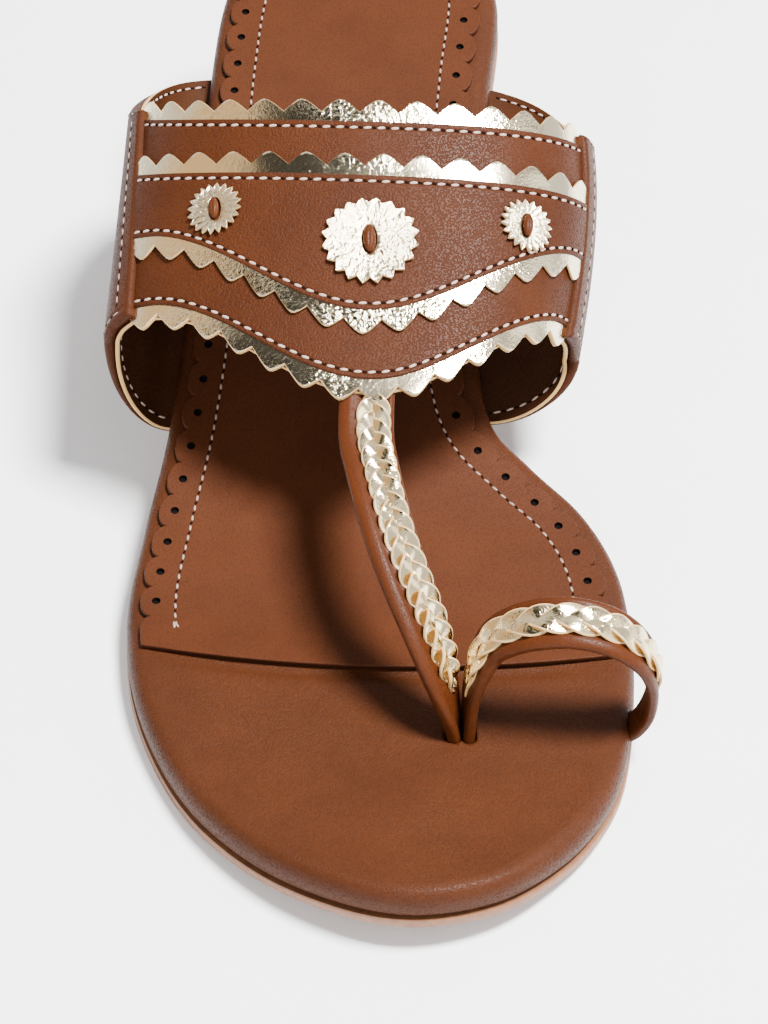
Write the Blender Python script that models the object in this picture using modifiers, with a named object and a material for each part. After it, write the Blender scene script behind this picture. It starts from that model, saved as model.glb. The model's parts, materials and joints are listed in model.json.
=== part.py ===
"""Kolhapuri sandal for the right foot: a block-heeled sole with a padded footbed, a wide instep band
with pinked gold layers and rosettes, a braided centre strap and a braided ring for the big toe.

The toe points along -Y, +X is the medial (big toe) side and the floor is at z = 0. The origin is the
middle of the heel tip's underside. Stations run along the floor from the heel's back to the toe tip.
"""

import math

import bmesh
import bpy
import numpy as np
from mathutils import Vector

# Driving sizes of the sole, in metres
SOLE_LENGTH = 0.2345
BALL_WIDTH = 0.0885
HEEL_RISE = 0.0433
TOE_SPRING = 0.0052
OUTSOLE_THICK = 0.0016
FOOTBED_THICK = 0.0061
OUTSOLE_REACH = 0.0002
OUTSOLE_CHAMFER = 0.2
HEEL_CENTRE = 0.0270
GAP = 0.0003

# Heel block and its rubber tip
HEEL_TIP_THICK = 0.0050
HEEL_BREAST = 0.0520
HEEL_BREAST_RAKE = 0.0060
HEEL_TOP_INSET = 0.0012
HEEL_BASE_INSET = 0.0056
HEEL_SWELL = 0.7
HEEL_TIP_CHAMFER = 0.0004
HEEL_TIP_CHAMFER_HEIGHT = 0.0006

# Sock lining on the footbed
SOCK_THICK = 0.0008
SOCK_FRONT_LATERAL = 0.1730
SOCK_FRONT_MEDIAL = 0.1765
SOCK_FRONT_BULGE = 0.0040
SOCK_INSET_LATERAL = 0.0024
SOCK_INSET_MEDIAL = 0.0034
SOCK_LOBES = 27
SCALLOP_DEPTH = 0.0019

# Wall of the upper, measured inwards from the quarters' outer face
WALL_INSIDE = 0.0030
LINING_FACE = 0.0023
VAMP_FACE = 0.0012
LASTING_INSIDE = 0.0014
LASTING_MARGIN = 0.0055

# Layers stitched on the band
GOLD_THICK = 0.00045
PANEL_THICK = 0.0007
PINK_PITCH = 0.0069
PINK_DEPTH = 0.0026
PINK_ROUND = 0.30
GOLD_REACH = 0.0044
LINING_REACH = 0.0021
QUARTER_FRONT_REACH = 0.0012
QUARTER_FLARE_LATERAL = 0.0042
QUARTER_FLARE_MEDIAL = -0.0014
FLARE_TURN = 1.8
PANEL_LIFT = -VAMP_FACE + GAP + PANEL_THICK

# Metres of the band that one unit of place and one of girth cover where they are shortest
PLACE_METRES = 0.05
GIRTH_METRES = 0.07

# Straps that hold the big toe
STRAP_WIDTH = 0.0096
STRAP_THICK = 0.0026
STRAP_OVERLAP = 0.0004
STRAP_TUCKED = 0.0070
STRAP_LEAVES = 0.0015
RING_WIDTH = 0.0092
RING_THICK = 0.0023
BRAID_WIDTH = 0.0056
RING_BRAID_WIDTH = 0.0052
BRAID_THICK = 0.0011
BRAID_LINK = 0.0036
BRAID_NIP = 0.16
BRAID_NIP_HEIGHT = 0.62
CENTRE_BRAID_SPAN = (0.155, 0.82)
RING_BRAID_SPAN = (0.16, 0.76)

# Squareness of a strap's section across and outwards: 1 is an ellipse, 0 a box
STRAP_SQUARE_ACROSS = 0.6
STRAP_SQUARE_OUT = 0.7

# Half widths and heights of a braid's section, as shares of its own
BRAID_SECTION = ((-1, 0.0), (-1, 0.45), (-0.55, 0.92), (0, 0.74), (0.55, 0.92), (1, 0.45), (1, 0.0))

# Rosettes of pinked gold leather, each held by a knot
ROSETTE_RADIUS = 0.0084
SMALL_ROSETTE_RADIUS = 0.0051
ROSETTE_TEETH = 20
SMALL_ROSETTE_TEETH = 20
ROSETTE_TOOTH = 0.0011
ROSETTE_THICK = 0.0005
KNOT_LENGTH = 0.0052
KNOT_WIDTH = 0.0022
KNOT_HEIGHT = 0.0016
SMALLEST_KNOT = 0.55

# Levels of a knot. Each row: share of its height, share of its width.
KNOT_LEVELS = ((0.0, 0.86), (0.35, 1.0), (0.75, 0.86), (0.95, 0.52), (1.0, 0.2))

# Plan outline of the sole, heel back round the lateral side to the toe and home along the medial side.
# Each row: share of the length, share of the ball width (medial positive).
OUTLINE = (
    (0.000, 0.000),
    (0.012, -0.130),
    (0.050, -0.228),
    (0.115, -0.296),
    (0.215, -0.328),
    (0.380, -0.356),
    (0.523, -0.399),
    (0.615, -0.444),
    (0.700, -0.472),
    (0.790, -0.441),
    (0.880, -0.343),
    (0.945, -0.205),
    (0.986, -0.050),
    (1.000, 0.090),
    (0.986, 0.235),
    (0.950, 0.350),
    (0.905, 0.435),
    (0.850, 0.490),
    (0.770, 0.520),
    (0.700, 0.521),
    (0.650, 0.498),
    (0.605, 0.440),
    (0.565, 0.345),
    (0.525, 0.265),
    (0.460, 0.240),
    (0.350, 0.248),
    (0.225, 0.281),
    (0.120, 0.306),
    (0.050, 0.235),
    (0.012, 0.130),
)

# Side profile of the footbed's top. Each row: share of the length, share of the heel rise,
# share of the toe spring.
PROFILE = (
    (0.000, 1.000, 0.00),
    (0.128, 0.880, 0.00),
    (0.258, 0.723, 0.00),
    (0.387, 0.501, 0.00),
    (0.516, 0.236, 0.00),
    (0.644, 0.055, 0.00),
    (0.733, 0.000, 0.00),
    (0.830, 0.000, 0.00),
    (0.930, 0.000, 0.38),
    (1.000, 0.000, 1.00),
)

# Edge of the footbed from its underside to its top. Each row: inset, height as shares of its thickness.
FOOTBED_EDGE = (
    (0.22, 0.00),
    (0.05, 0.10),
    (0.00, 0.32),
    (0.00, 0.56),
    (0.08, 0.78),
    (0.24, 0.94),
    (0.46, 1.00),
)

# Ribs of the instep band from its rear edge to the tip of its point, as lengths in metres along the
# floor and above it: the crown, the widest place of the side wall, and the tuck at the sole.
RIB_COLUMNS = (
    "place", "crown_at", "crown_z", "lateral_at", "lateral_z", "lateral_x", "lateral_tuck",
    "medial_at", "medial_z", "medial_x", "medial_tuck",
)
RIBS = (
    (0.0, 0.0966, 0.0686, 0.0721, 0.0491, 0.0433, 0.0455, 0.0722, 0.0444, 0.0428, 0.0485),
    (0.5, 0.1142, 0.0585, 0.0983, 0.0413, 0.0449, 0.0898, 0.0924, 0.0330, 0.0431, 0.0898),
    (1.0, 0.1410, 0.0458, 0.1322, 0.0299, 0.0474, 0.1330, 0.1247, 0.0211, 0.0373, 0.1330),
)
CROWN_X = 0.0029
LATERAL_SQUARE = 2.02
MEDIAL_SQUARE = 2.70
WIDE_SHARE = 0.74
LASTED_SHARE = 0.92
EDGE_SHARE = 0.94
SEAM_LATERAL = 0.620
SEAM_MEDIAL = 0.540
HOLD_LATERAL = 0.620
HOLD_MEDIAL = 0.740

# Edges of the vamp and of its centre panel, each a place between the ribs.
# Each row: at the crown, slope to the medial side, how much further the point reaches.
EDGES = {
    "vamp_rear": (0.096, 0.095, 0.0),
    "panel_rear": (0.365, 0.094, 0.0),
    "panel_front": (0.593, 0.063, 0.259),
    "vamp_front": (0.810, 0.057, 0.234),
}
POINT_WIDTH = 0.532
POINT_CENTRE = -0.030

# Routes of the two toe straps. Each row: place along the floor, x, z, then the outer face's direction
# (x, y, z) and the share of the strap's width.
CENTRE_STRAP = (
    (0.1515, 0.0003, 0.0377, 0.00, -0.45, 0.90, 1.00),
    (0.1593, 0.0013, 0.0367, 0.04, -0.45, 0.90, 0.97),
    (0.1667, 0.0027, 0.0352, 0.10, -0.52, 0.85, 0.95),
    (0.1737, 0.0046, 0.0326, 0.18, -0.60, 0.78, 0.94),
    (0.1798, 0.0070, 0.0292, 0.30, -0.66, 0.68, 0.94),
    (0.1856, 0.0098, 0.0244, 0.50, -0.68, 0.53, 0.92),
    (0.1900, 0.0120, 0.0188, 0.74, -0.58, 0.34, 0.84),
    (0.1924, 0.0137, 0.0132, 0.92, -0.38, 0.12, 0.72),
    (0.1932, 0.0147, 0.0088, 0.98, -0.20, 0.00, 0.62),
    (0.1934, 0.0151, 0.0046, 1.00, -0.10, 0.00, 0.58),
)
TOE_RING = (
    (0.1936, 0.0170, 0.0046, -1.00, -0.10, 0.00, 0.60),
    (0.1932, 0.0170, 0.0088, -0.99, -0.10, 0.05, 0.64),
    (0.1912, 0.0178, 0.0165, -0.96, -0.16, 0.25, 0.80),
    (0.1892, 0.0206, 0.0238, -0.72, -0.26, 0.66, 0.92),
    (0.1897, 0.0242, 0.0276, -0.40, -0.34, 0.86, 0.98),
    (0.1908, 0.0288, 0.0302, -0.12, -0.38, 0.92, 1.00),
    (0.1915, 0.0342, 0.0310, 0.08, -0.38, 0.92, 1.00),
    (0.1920, 0.0396, 0.0298, 0.34, -0.32, 0.88, 1.00),
    (0.1922, 0.0436, 0.0272, 0.62, -0.26, 0.74, 0.98),
    (0.1918, 0.0464, 0.0232, 0.86, -0.20, 0.46, 0.94),
    (0.1912, 0.0478, 0.0186, 0.98, -0.14, 0.14, 0.86),
    (0.1908, 0.0480, 0.0140, 0.98, -0.08, -0.18, 0.76),
    (0.1906, 0.0472, 0.0094, 0.88, 0.00, -0.50, 0.68),
    (0.1905, 0.0452, 0.0058, 0.50, 0.00, -0.86, 0.62),
    (0.1905, 0.0420, 0.0043, 0.08, 0.00, -1.00, 0.60),
    (0.1905, 0.0385, 0.0041, 0.00, 0.00, -1.00, 0.60),
)

# Rosettes: name, girth, place, radius, teeth
ROSETTES = (
    ("centre", -0.022, 0.622, ROSETTE_RADIUS, ROSETTE_TEETH),
    ("lateral", -0.378, 0.486, SMALL_ROSETTE_RADIUS, SMALL_ROSETTE_TEETH),
    ("medial", 0.325, 0.556, SMALL_ROSETTE_RADIUS, SMALL_ROSETTE_TEETH),
)

# Sampling
STATIONS = 30
BAND_COLUMNS = 34
BAND_ROWS = 6
STRAP_SIDES = 10
KNOT_SIDES = 12
HEEL_STATIONS = 12
TANGENT_STEP = 0.0005
FRAME_STEP = 0.006
LOBE_PHASES = (0.0, 0.14, 0.5, 0.86)
TOOTH_PHASES = (0.0, 0.16, 0.5, 0.84)
EDGE_STEP = 0.004
SEAM_STEP = 0.001
SEAM_CLEAR = 0.02
TUCK_STEP = 0.03
ROOM_START = 0.7
ROOM_END = 1.08


# Small helpers

def table_value(rows, column, place):
    """A smooth value read from one column of a table whose first column is the place."""
    xs = np.array([row[0] for row in rows])
    ys = np.array([row[column] for row in rows])
    step = np.diff(xs)
    slope = np.diff(ys) / step
    tangent = np.zeros(len(xs))
    for i in range(1, len(xs) - 1):
        if slope[i - 1] * slope[i] > 0:
            before = 2 * step[i] + step[i - 1]
            after = step[i] + 2 * step[i - 1]
            tangent[i] = (before + after) / (before / slope[i - 1] + after / slope[i])
    tangent[0] = slope[0]
    tangent[-1] = slope[-1]
    i = int(np.clip(np.searchsorted(xs, place) - 1, 0, len(xs) - 2))
    u = (place - xs[i]) / step[i]
    return float(
        ys[i] * (1 + 2 * u) * (1 - u) ** 2
        + tangent[i] * step[i] * u * (1 - u) ** 2
        + ys[i + 1] * u * u * (3 - 2 * u)
        + tangent[i + 1] * step[i] * u * u * (u - 1)
    )


def through(points, count, closed=False):
    """count points of a smooth curve through the given ones, evenly spaced by their numbers."""
    pts = np.array(points, float)
    spans = len(pts) if closed else len(pts) - 1
    places = np.linspace(0, spans, count + 1)[:-1] if closed else np.linspace(0, spans, count)
    found = []
    for place in places:
        i = min(int(place), spans - 1)
        u = place - i
        around = []
        for k in (i - 1, i, i + 1, i + 2):
            around.append(pts[k % len(pts)] if closed else pts[min(max(k, 0), len(pts) - 1)])
        p0, p1, p2, p3 = around
        found.append(
            0.5 * (2 * p1 + (p2 - p0) * u + (2 * p0 - 5 * p1 + 4 * p2 - p3) * u * u
                   + (3 * p1 - p0 - 3 * p2 + p3) * u ** 3)
        )
    return np.array(found)


def world(x, place, z):
    """A point from its sideways place, its station along the floor and its height."""
    return Vector((x, HEEL_CENTRE - place, z))


def material(name, colour, roughness, metallic=0.0):
    made = bpy.data.materials.new(name)
    made.use_nodes = True
    shader = made.node_tree.nodes["Principled BSDF"]
    shader.inputs["Base Color"].default_value = (*colour, 1.0)
    shader.inputs["Roughness"].default_value = roughness
    shader.inputs["Metallic"].default_value = metallic
    made.diffuse_color = (*colour, 1.0)
    return made


def add_mesh(name, bm, finish, collection):
    """An object from a bmesh, with its doubles merged and its faces pointing out."""
    bmesh.ops.remove_doubles(bm, verts=bm.verts, dist=1e-6)
    bmesh.ops.dissolve_degenerate(bm, edges=bm.edges, dist=1e-7)
    bmesh.ops.recalc_face_normals(bm, faces=bm.faces)
    mesh = bpy.data.meshes.new(name)
    bm.to_mesh(mesh)
    bm.free()
    mesh.shade_smooth()
    mesh.set_sharp_from_angle(angle=math.radians(50))
    obj = bpy.data.objects.new(name, mesh)
    collection.objects.link(obj)
    if finish is not None:
        mesh.materials.append(finish)
    return obj


def grid_faces(bm, rows):
    """Quads between the neighbouring rows of vertices."""
    for upper, lower in zip(rows, rows[1:]):
        for i in range(len(upper) - 1):
            bm.faces.new((upper[i], upper[i + 1], lower[i + 1], lower[i]))


def sheet(name, rows, thick, finish, collection):
    """A leather piece: an open surface through rows of points, thickened below its face."""
    bm = bmesh.new()
    verts = [[bm.verts.new(point) for point in row] for row in rows]
    grid_faces(bm, verts)
    obj = add_mesh(name, bm, finish, collection)
    if sum(face.normal.z for face in obj.data.polygons) < 0:
        obj.data.flip_normals()
    obj.data.shade_flat()
    solid = obj.modifiers.new("thickness", "SOLIDIFY")
    solid.thickness = thick
    solid.offset = -1
    return obj


def closed_loft(name, rings, finish, collection):
    """A solid through closed rings of points, with a flat cap on each end."""
    bm = bmesh.new()
    verts = [[bm.verts.new(point) for point in ring] for ring in rings]
    for ring in verts:
        ring.append(ring[0])
    grid_faces(bm, verts)
    bm.faces.new(verts[0][:-1])
    bm.faces.new(verts[-1][:-1])
    return add_mesh(name, bm, finish, collection)


def boolean(target, other, operation):
    cut = target.modifiers.new(operation.lower(), "BOOLEAN")
    cut.operation = operation
    cut.object = other
    cut.solver = "EXACT"


# Sole

def top_z(place):
    """Height of the footbed's top at a station."""
    share = min(max(place / SOLE_LENGTH, 0.0), 1.0)
    ball = OUTSOLE_THICK + GAP + FOOTBED_THICK
    return ball + HEEL_RISE * table_value(PROFILE, 1, share) + TOE_SPRING * table_value(PROFILE, 2, share)


def under_z(place):
    """Height of the outsole's underside at a station."""
    return top_z(place) - OUTSOLE_THICK - GAP - FOOTBED_THICK


def outline(inset):
    """The plan outline as points (x, place), moved inwards by the inset."""
    rows = [(across * BALL_WIDTH, along * SOLE_LENGTH) for along, across in OUTLINE]
    curve = through(rows, 520, closed=True)
    ahead = np.roll(curve, -1, axis=0) - np.roll(curve, 1, axis=0)
    ahead /= np.linalg.norm(ahead, axis=1)[:, None]
    inwards = np.stack([ahead[:, 1], -ahead[:, 0]], 1)
    return curve + inset * inwards


def sides(inset, end=None, count=STATIONS):
    """Lateral and medial points (x, place) at shared stations, closer together at the round ends."""
    curve = outline(inset)
    back = int(np.argmin(curve[:, 1]))
    curve = np.roll(curve, -back, axis=0)
    tip = int(np.argmax(curve[:, 1]))
    lateral = curve[: tip + 1]
    medial = np.vstack([curve[tip:], curve[:1]])[::-1]
    low = curve[0][1]
    if end is None:
        spacing = (1 - np.cos(np.linspace(0, math.pi, count + 1))) / 2
        high = curve[tip][1]
    else:
        spacing = 1 - np.cos(np.linspace(0, math.pi / 2, count + 1))
        high = end
    places = low + spacing * (high - low)
    found = []
    for side in (lateral, medial):
        keep = np.maximum.accumulate(side[:, 1])
        found.append(np.stack([np.interp(places, keep, side[:, 0]), places], 1))
    return found


def stacked(name, levels, columns, finish, collection):
    """A solid from levels of paired lateral and medial points, capped across in strips."""
    bm = bmesh.new()
    rings = []
    caps = []
    for lateral, medial in levels:
        rows = []
        for a, b in zip(lateral, medial):
            rows.append([bm.verts.new(a.lerp(b, j / columns)) for j in range(columns + 1)])
        caps.append(rows)
        ring = [row[0] for row in rows] + rows[-1][1:] + [row[-1] for row in rows[-2::-1]]
        ring += rows[0][-2:0:-1]
        rings.append(ring + [ring[0]])
    grid_faces(bm, rings)
    grid_faces(bm, caps[0])
    grid_faces(bm, caps[-1])
    loose = [v for v in bm.verts if not v.link_faces]
    bmesh.ops.delete(bm, geom=loose, context="VERTS")
    return add_mesh(name, bm, finish, collection)


def level(inset, height_at, end=None, count=STATIONS):
    """One level of a stacked solid: the outline at an inset, each point at its own height."""
    lateral, medial = sides(inset, end, count)
    return (
        [world(x, place, height_at(place)) for x, place in lateral],
        [world(x, place, height_at(place)) for x, place in medial],
    )


def make_outsole(finish, collection):
    chamfer = OUTSOLE_CHAMFER * OUTSOLE_THICK
    levels = [
        level(chamfer - OUTSOLE_REACH, under_z),
        level(-OUTSOLE_REACH, lambda place: under_z(place) + chamfer),
        level(-OUTSOLE_REACH, lambda place: under_z(place) + OUTSOLE_THICK),
    ]
    return stacked("outsole", levels, 2, finish, collection)


def make_footbed(finish, collection):
    levels = []
    for inset, height in FOOTBED_EDGE:
        lift = OUTSOLE_THICK + GAP + height * FOOTBED_THICK
        levels.append(level(inset * FOOTBED_THICK, lambda place, lift=lift: under_z(place) + lift))
    return stacked("footbed", levels, 4, finish, collection)


def heel_level(share):
    """A level of the heel block, from its base (share 0) to the outsole's underside (share 1)."""
    inset = HEEL_BASE_INSET + (HEEL_TOP_INSET - HEEL_BASE_INSET) * share ** HEEL_SWELL
    breast = HEEL_BREAST - HEEL_BREAST_RAKE * (1 - share)
    base = HEEL_TIP_THICK + GAP

    def height_at(place):
        return base + share * (under_z(place) - GAP - base)

    return level(inset, height_at, breast, HEEL_STATIONS)


def make_heel(finish, collection):
    return stacked("heel_block", [heel_level(k / 4) for k in range(5)], 2, finish, collection)


def make_heel_tip(finish, collection):
    breast = HEEL_BREAST - HEEL_BREAST_RAKE
    levels = []
    for chamfer, height in ((HEEL_TIP_CHAMFER, 0.0), (0.0, HEEL_TIP_CHAMFER_HEIGHT), (0.0, HEEL_TIP_THICK)):
        levels.append(level(
            HEEL_BASE_INSET + chamfer, lambda place, height=height: height, breast - chamfer, HEEL_STATIONS
        ))
    return stacked("heel_tip", levels, 2, finish, collection)


# Sock lining

def lobe_depth(phase):
    """Share of the scallop's depth that is cut away: 1 in a notch, 0 on a lobe's tip."""
    return 1 - math.sqrt(max(0.0, 1 - (2 * (phase % 1.0) - 1) ** 2))


def sock_side(side, inset, front):
    """Points (x, place) of one scalloped side, from the front corner to the heel's back."""
    curve = sides(inset, count=160)[0 if side < 0 else 1]
    corner = np.array([np.interp(front, curve[:, 1], curve[:, 0]), front])
    curve = np.vstack([corner, curve[curve[:, 1] < front][::-1]])
    run = np.concatenate([[0], np.cumsum(np.linalg.norm(np.diff(curve, axis=0), axis=1))])

    def on_curve(at):
        return np.array([np.interp(at, run, curve[:, 0]), np.interp(at, run, curve[:, 1])])

    found = []
    for lobe in range(SOCK_LOBES):
        for phase in LOBE_PHASES:
            at = (lobe + phase) / SOCK_LOBES * run[-1]
            along = on_curve(min(at + TANGENT_STEP, run[-1])) - on_curve(max(at - TANGENT_STEP, 0.0))
            along /= np.linalg.norm(along)
            inwards = side * np.array([along[1], -along[0]])
            cut = 0.0 if lobe == 0 and phase < 0.5 else SCALLOP_DEPTH * lobe_depth(phase)
            found.append(on_curve(at) + cut * inwards)
    found.append(np.array([0.0, curve[-1, 1] + SCALLOP_DEPTH]))
    return found


def make_sock(finish, collection):
    lateral = sock_side(-1, SOCK_INSET_LATERAL, SOCK_FRONT_LATERAL)
    medial = sock_side(1, SOCK_INSET_MEDIAL, SOCK_FRONT_MEDIAL)
    columns = 2
    rows = []
    for i, (a, b) in enumerate(zip(lateral, medial)):
        bulge = SOCK_FRONT_BULGE * max(0.0, 1 - i / 5)
        row = []
        for j in range(columns + 1):
            share = j / columns
            x, place = a * (1 - share) + b * share
            place += bulge * (1 - (2 * share - 1) ** 2)
            row.append(world(x, place, top_z(place) + GAP + SOCK_THICK))
        rows.append(row)
    return sheet("sock", rows, SOCK_THICK, finish, collection)


# Instep band

def rib_values(place):
    """Every column of the rib table at a place, through its three rows."""
    (p0, *y0), (p1, *y1), (p2, *y2) = RIBS
    w0 = (place - p1) * (place - p2) / ((p0 - p1) * (p0 - p2))
    w1 = (place - p0) * (place - p2) / ((p1 - p0) * (p1 - p2))
    w2 = (place - p0) * (place - p1) / ((p2 - p0) * (p2 - p1))
    values = w0 * np.array(y0) + w1 * np.array(y1) + w2 * np.array(y2)
    return dict(zip(RIB_COLUMNS[1:], values))


EDGE_SIDES = sides(0.0, count=160)
QUARTER_TURN = np.linspace(math.pi / 2, 0, 33)
TURN_COS = np.clip(np.cos(QUARTER_TURN), 0, 1)[:, None]
TURN_SIN = np.clip(np.sin(QUARTER_TURN), 0, 1)[:, None]


def tuck_point(side, at):
    """Where the band's face meets the feather line of the sole, at a station."""
    curve = EDGE_SIDES[0] if side < 0 else EDGE_SIDES[1]
    x = float(np.interp(at, curve[:, 1], curve[:, 0]))
    return np.array([x, at, under_z(at) + OUTSOLE_THICK + GAP])


def along_polyline(points, share):
    length = np.concatenate([[0], np.cumsum(np.linalg.norm(np.diff(points, axis=0), axis=1))])
    return np.array([np.interp(share * length[-1], length, points[:, k]) for k in range(3)])


def rib_point(girth, place):
    """A point of the quarters' outer face, continued over the vamp. girth runs from -1 at the end of
    the lateral lasting margin over the crown at 0 to +1 at the medial one; place runs from the rear."""
    side = -1 if girth < 0 else 1
    name = "lateral" if side < 0 else "medial"
    rib = rib_values(place)
    wide = np.array([side * rib[name + "_x"], rib[name + "_at"], rib[name + "_z"]])
    tuck = tuck_point(side, rib[name + "_tuck"])
    share = abs(girth)
    if share <= WIDE_SHARE:
        power = 2 / (LATERAL_SQUARE if side < 0 else MEDIAL_SQUARE)
        crown = np.array([CROWN_X, rib["crown_at"], rib["crown_z"]])
        base = np.array([CROWN_X, wide[1], wide[2]])
        over = base + TURN_COS ** power * (wide - base) + TURN_SIN ** power * (crown - base)
        return along_polyline(over, share / WIDE_SHARE)
    if share <= EDGE_SHARE:
        base = np.array([tuck[0], wide[1], wide[2]])
        under = base + TURN_SIN * (wide - base) + TURN_COS * (tuck - base)
        return along_polyline(under, (share - WIDE_SHARE) / (EDGE_SHARE - WIDE_SHARE))
    inside = (share - EDGE_SHARE) / (1 - EDGE_SHARE) * LASTING_MARGIN
    return tuck - np.array([side * inside, 0.0, 0.0])


def band_frame(girth, place):
    """A point of the outer face with its two tangents and its outward normal."""
    step = FRAME_STEP
    here = rib_point(girth, place)
    across = (rib_point(girth + step, place) - rib_point(girth - step, place)) / (2 * step)
    along = (rib_point(girth, place + step) - rib_point(girth, place - step)) / (2 * step)
    normal = np.cross(across, along)
    return here, across, along, normal / np.linalg.norm(normal)


def band_point(girth, place, lift):
    """A point of the outer face moved outwards by a lift."""
    here, _, _, normal = band_frame(girth, place)
    return world(*(here + lift * normal))


def edge_place(name, girth, reach=0.0):
    """Place of a named edge at a girth, moved on towards the toe by a reach in metres."""
    at_crown, slope, point = EDGES[name]
    share = min(abs(girth - POINT_CENTRE) / POINT_WIDTH, 1.0)
    place = at_crown + slope * girth + point * (1 + math.cos(math.pi * share)) / 2
    if not reach:
        return place
    return place + reach / np.linalg.norm(band_frame(girth, place)[2])


def seam_of(girth):
    return SEAM_LATERAL if girth < 0 else SEAM_MEDIAL


def inner_lift(girth):
    """Depth of the wall's inner face, thinner where it is lasted under the footbed."""
    share = min(max((abs(girth) - WIDE_SHARE) / (LASTED_SHARE - WIDE_SHARE), 0.0), 1.0)
    return -WALL_INSIDE + (WALL_INSIDE - LASTING_INSIDE) * share


def wall_rows(girth, grow):
    """One column of the wall: places and lifts round its section, rear edge to front and back inside.
    The quarters lie over the vamp from the seam on, and below the hold they part from its edges."""
    quarter = abs(girth) > seam_of(girth)
    hold = HOLD_LATERAL if girth < 0 else HOLD_MEDIAL
    held = math.copysign(min(abs(girth), hold), girth)
    past = min(max((abs(girth) - hold) / (EDGE_SHARE - hold), 0.0), 1.0)
    room = grow / PLACE_METRES
    rear = edge_place("vamp_rear", held)
    front = edge_place("vamp_front", held)
    first = edge_place("vamp_rear", held, -LINING_REACH) * (1 - past)
    if quarter:
        flare = QUARTER_FLARE_LATERAL if girth < 0 else QUARTER_FLARE_MEDIAL
        turn = math.sin(math.pi / 2 * min(FLARE_TURN * past, 1.0))
        last = edge_place("vamp_front", held, QUARTER_FRONT_REACH + flare * turn)
    else:
        last = edge_place("vamp_front", held, LINING_REACH)
    first, last = first - room, last + room
    outer = [(first, 0), (rear - EDGE_STEP, 0)]
    outer += [(rear + (front - rear) * k / (BAND_ROWS - 1), 1) for k in range(BAND_ROWS)]
    outer += [(front + EDGE_STEP, 0), (last, 0)]
    found = []
    for place, raised in outer:
        if quarter:
            lift = grow
        else:
            lift = grow - (VAMP_FACE if raised else LINING_FACE)
        found.append((place, lift))
    for k in range(BAND_ROWS, -1, -1):
        found.append((first + (last - first) * k / BAND_ROWS, inner_lift(girth) - grow))
    return found


def band_girths():
    """Columns of the band's wall, with a close pair at each seam."""
    found = list(np.linspace(-1, 1, BAND_COLUMNS + 1))
    found += [-EDGE_SHARE, EDGE_SHARE, -EDGE_SHARE + TUCK_STEP, EDGE_SHARE - TUCK_STEP]
    for seam in (-SEAM_LATERAL, SEAM_MEDIAL):
        found = [g for g in found if abs(g - seam) > SEAM_CLEAR]
        found += [seam - SEAM_STEP, seam + SEAM_STEP]
    return sorted(set(found))


def make_wall(name, grow, finish, collection, only=None):
    """The band's hollow wall, stepped at the vamp's edges and at the quarters' seams. As room in the
    footbed it is grown, and only the low part of one side is made."""
    girths = band_girths()
    if only:
        girths = sorted([g for g in girths if g * only > ROOM_START] + [ROOM_END * only])
    columns = []
    bm = bmesh.new()
    for girth in girths:
        column = [bm.verts.new(band_point(girth, *row)) for row in wall_rows(girth, grow)]
        columns.append(column + [column[0]])
    grid_faces(bm, columns)
    bm.faces.new(columns[0][:-1])
    bm.faces.new(columns[-1][:-1])
    return add_mesh(name, bm, finish, collection)


def pinked(phase):
    """Share of the tooth's depth at a phase: 0 in the sharp notch, 1 on the rounded tip."""
    from_tip = abs(2 * (phase % 1.0) - 1)
    return 1 - (math.hypot(from_tip, PINK_ROUND) - PINK_ROUND) / (math.hypot(1.0, PINK_ROUND) - PINK_ROUND)


def edge_run(name, start, end):
    """Girths at even steps along an edge, with the total length of the edge."""
    girths = np.linspace(start, end, 90)
    points = np.array([rib_point(g, edge_place(name, g)) for g in girths])
    run = np.concatenate([[0], np.cumsum(np.linalg.norm(np.diff(points, axis=0), axis=1))])
    return girths, run


def make_gold(name, edge, reach, lift, finish, collection):
    """A pinked strip that shows past an edge; its teeth point the way of the reach."""
    margin = GAP / GIRTH_METRES
    girths, run = edge_run(edge, -SEAM_LATERAL + margin, SEAM_MEDIAL - margin)
    teeth = round(run[-1] / PINK_PITCH)
    way = 1 if reach > 0 else -1
    rows = []
    for tooth in range(teeth):
        for phase in TOOTH_PHASES + ((1.0,) if tooth == teeth - 1 else ()):
            girth = float(np.interp((tooth + phase) / teeth * run[-1], run, girths))
            tip = reach - way * PINK_DEPTH * (1 - pinked(phase))
            near = edge_place(edge, girth, way * GAP)
            far = edge_place(edge, girth, tip)
            rows.append([band_point(girth, p, lift) for p in (near, far)])
    return sheet(name, rows, GOLD_THICK, finish, collection)


def make_panel(finish, collection):
    margin = GAP / GIRTH_METRES
    rows = []
    for girth in np.linspace(-SEAM_LATERAL + margin, SEAM_MEDIAL - margin, 31):
        rear = edge_place("panel_rear", girth)
        front = edge_place("panel_front", girth)
        row = [band_point(girth, rear + (front - rear) * k / 4, PANEL_LIFT) for k in range(5)]
        rows.append(row)
    return sheet("panel", rows, PANEL_THICK, finish, collection)


# Rosettes and knots

def on_panel(girth, place, sideways, ahead, lift):
    """A point of the panel's surface at distances from a spot on it."""
    _, across, along, normal = band_frame(girth, place)
    ahead_dir = along / np.linalg.norm(along)
    side_dir = np.cross(normal, ahead_dir)
    side_dir *= np.sign(side_dir[0])
    wanted = sideways * side_dir + ahead * ahead_dir
    fitted = np.linalg.lstsq(np.stack([across, along], 1), wanted, rcond=None)[0]
    return band_point(girth + fitted[0], place + fitted[1], lift)


def knot_scale(radius):
    """A knot is smaller on a small rosette, but not by as much as the rosette is."""
    return SMALLEST_KNOT + (1 - SMALLEST_KNOT) * radius / ROSETTE_RADIUS


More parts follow.
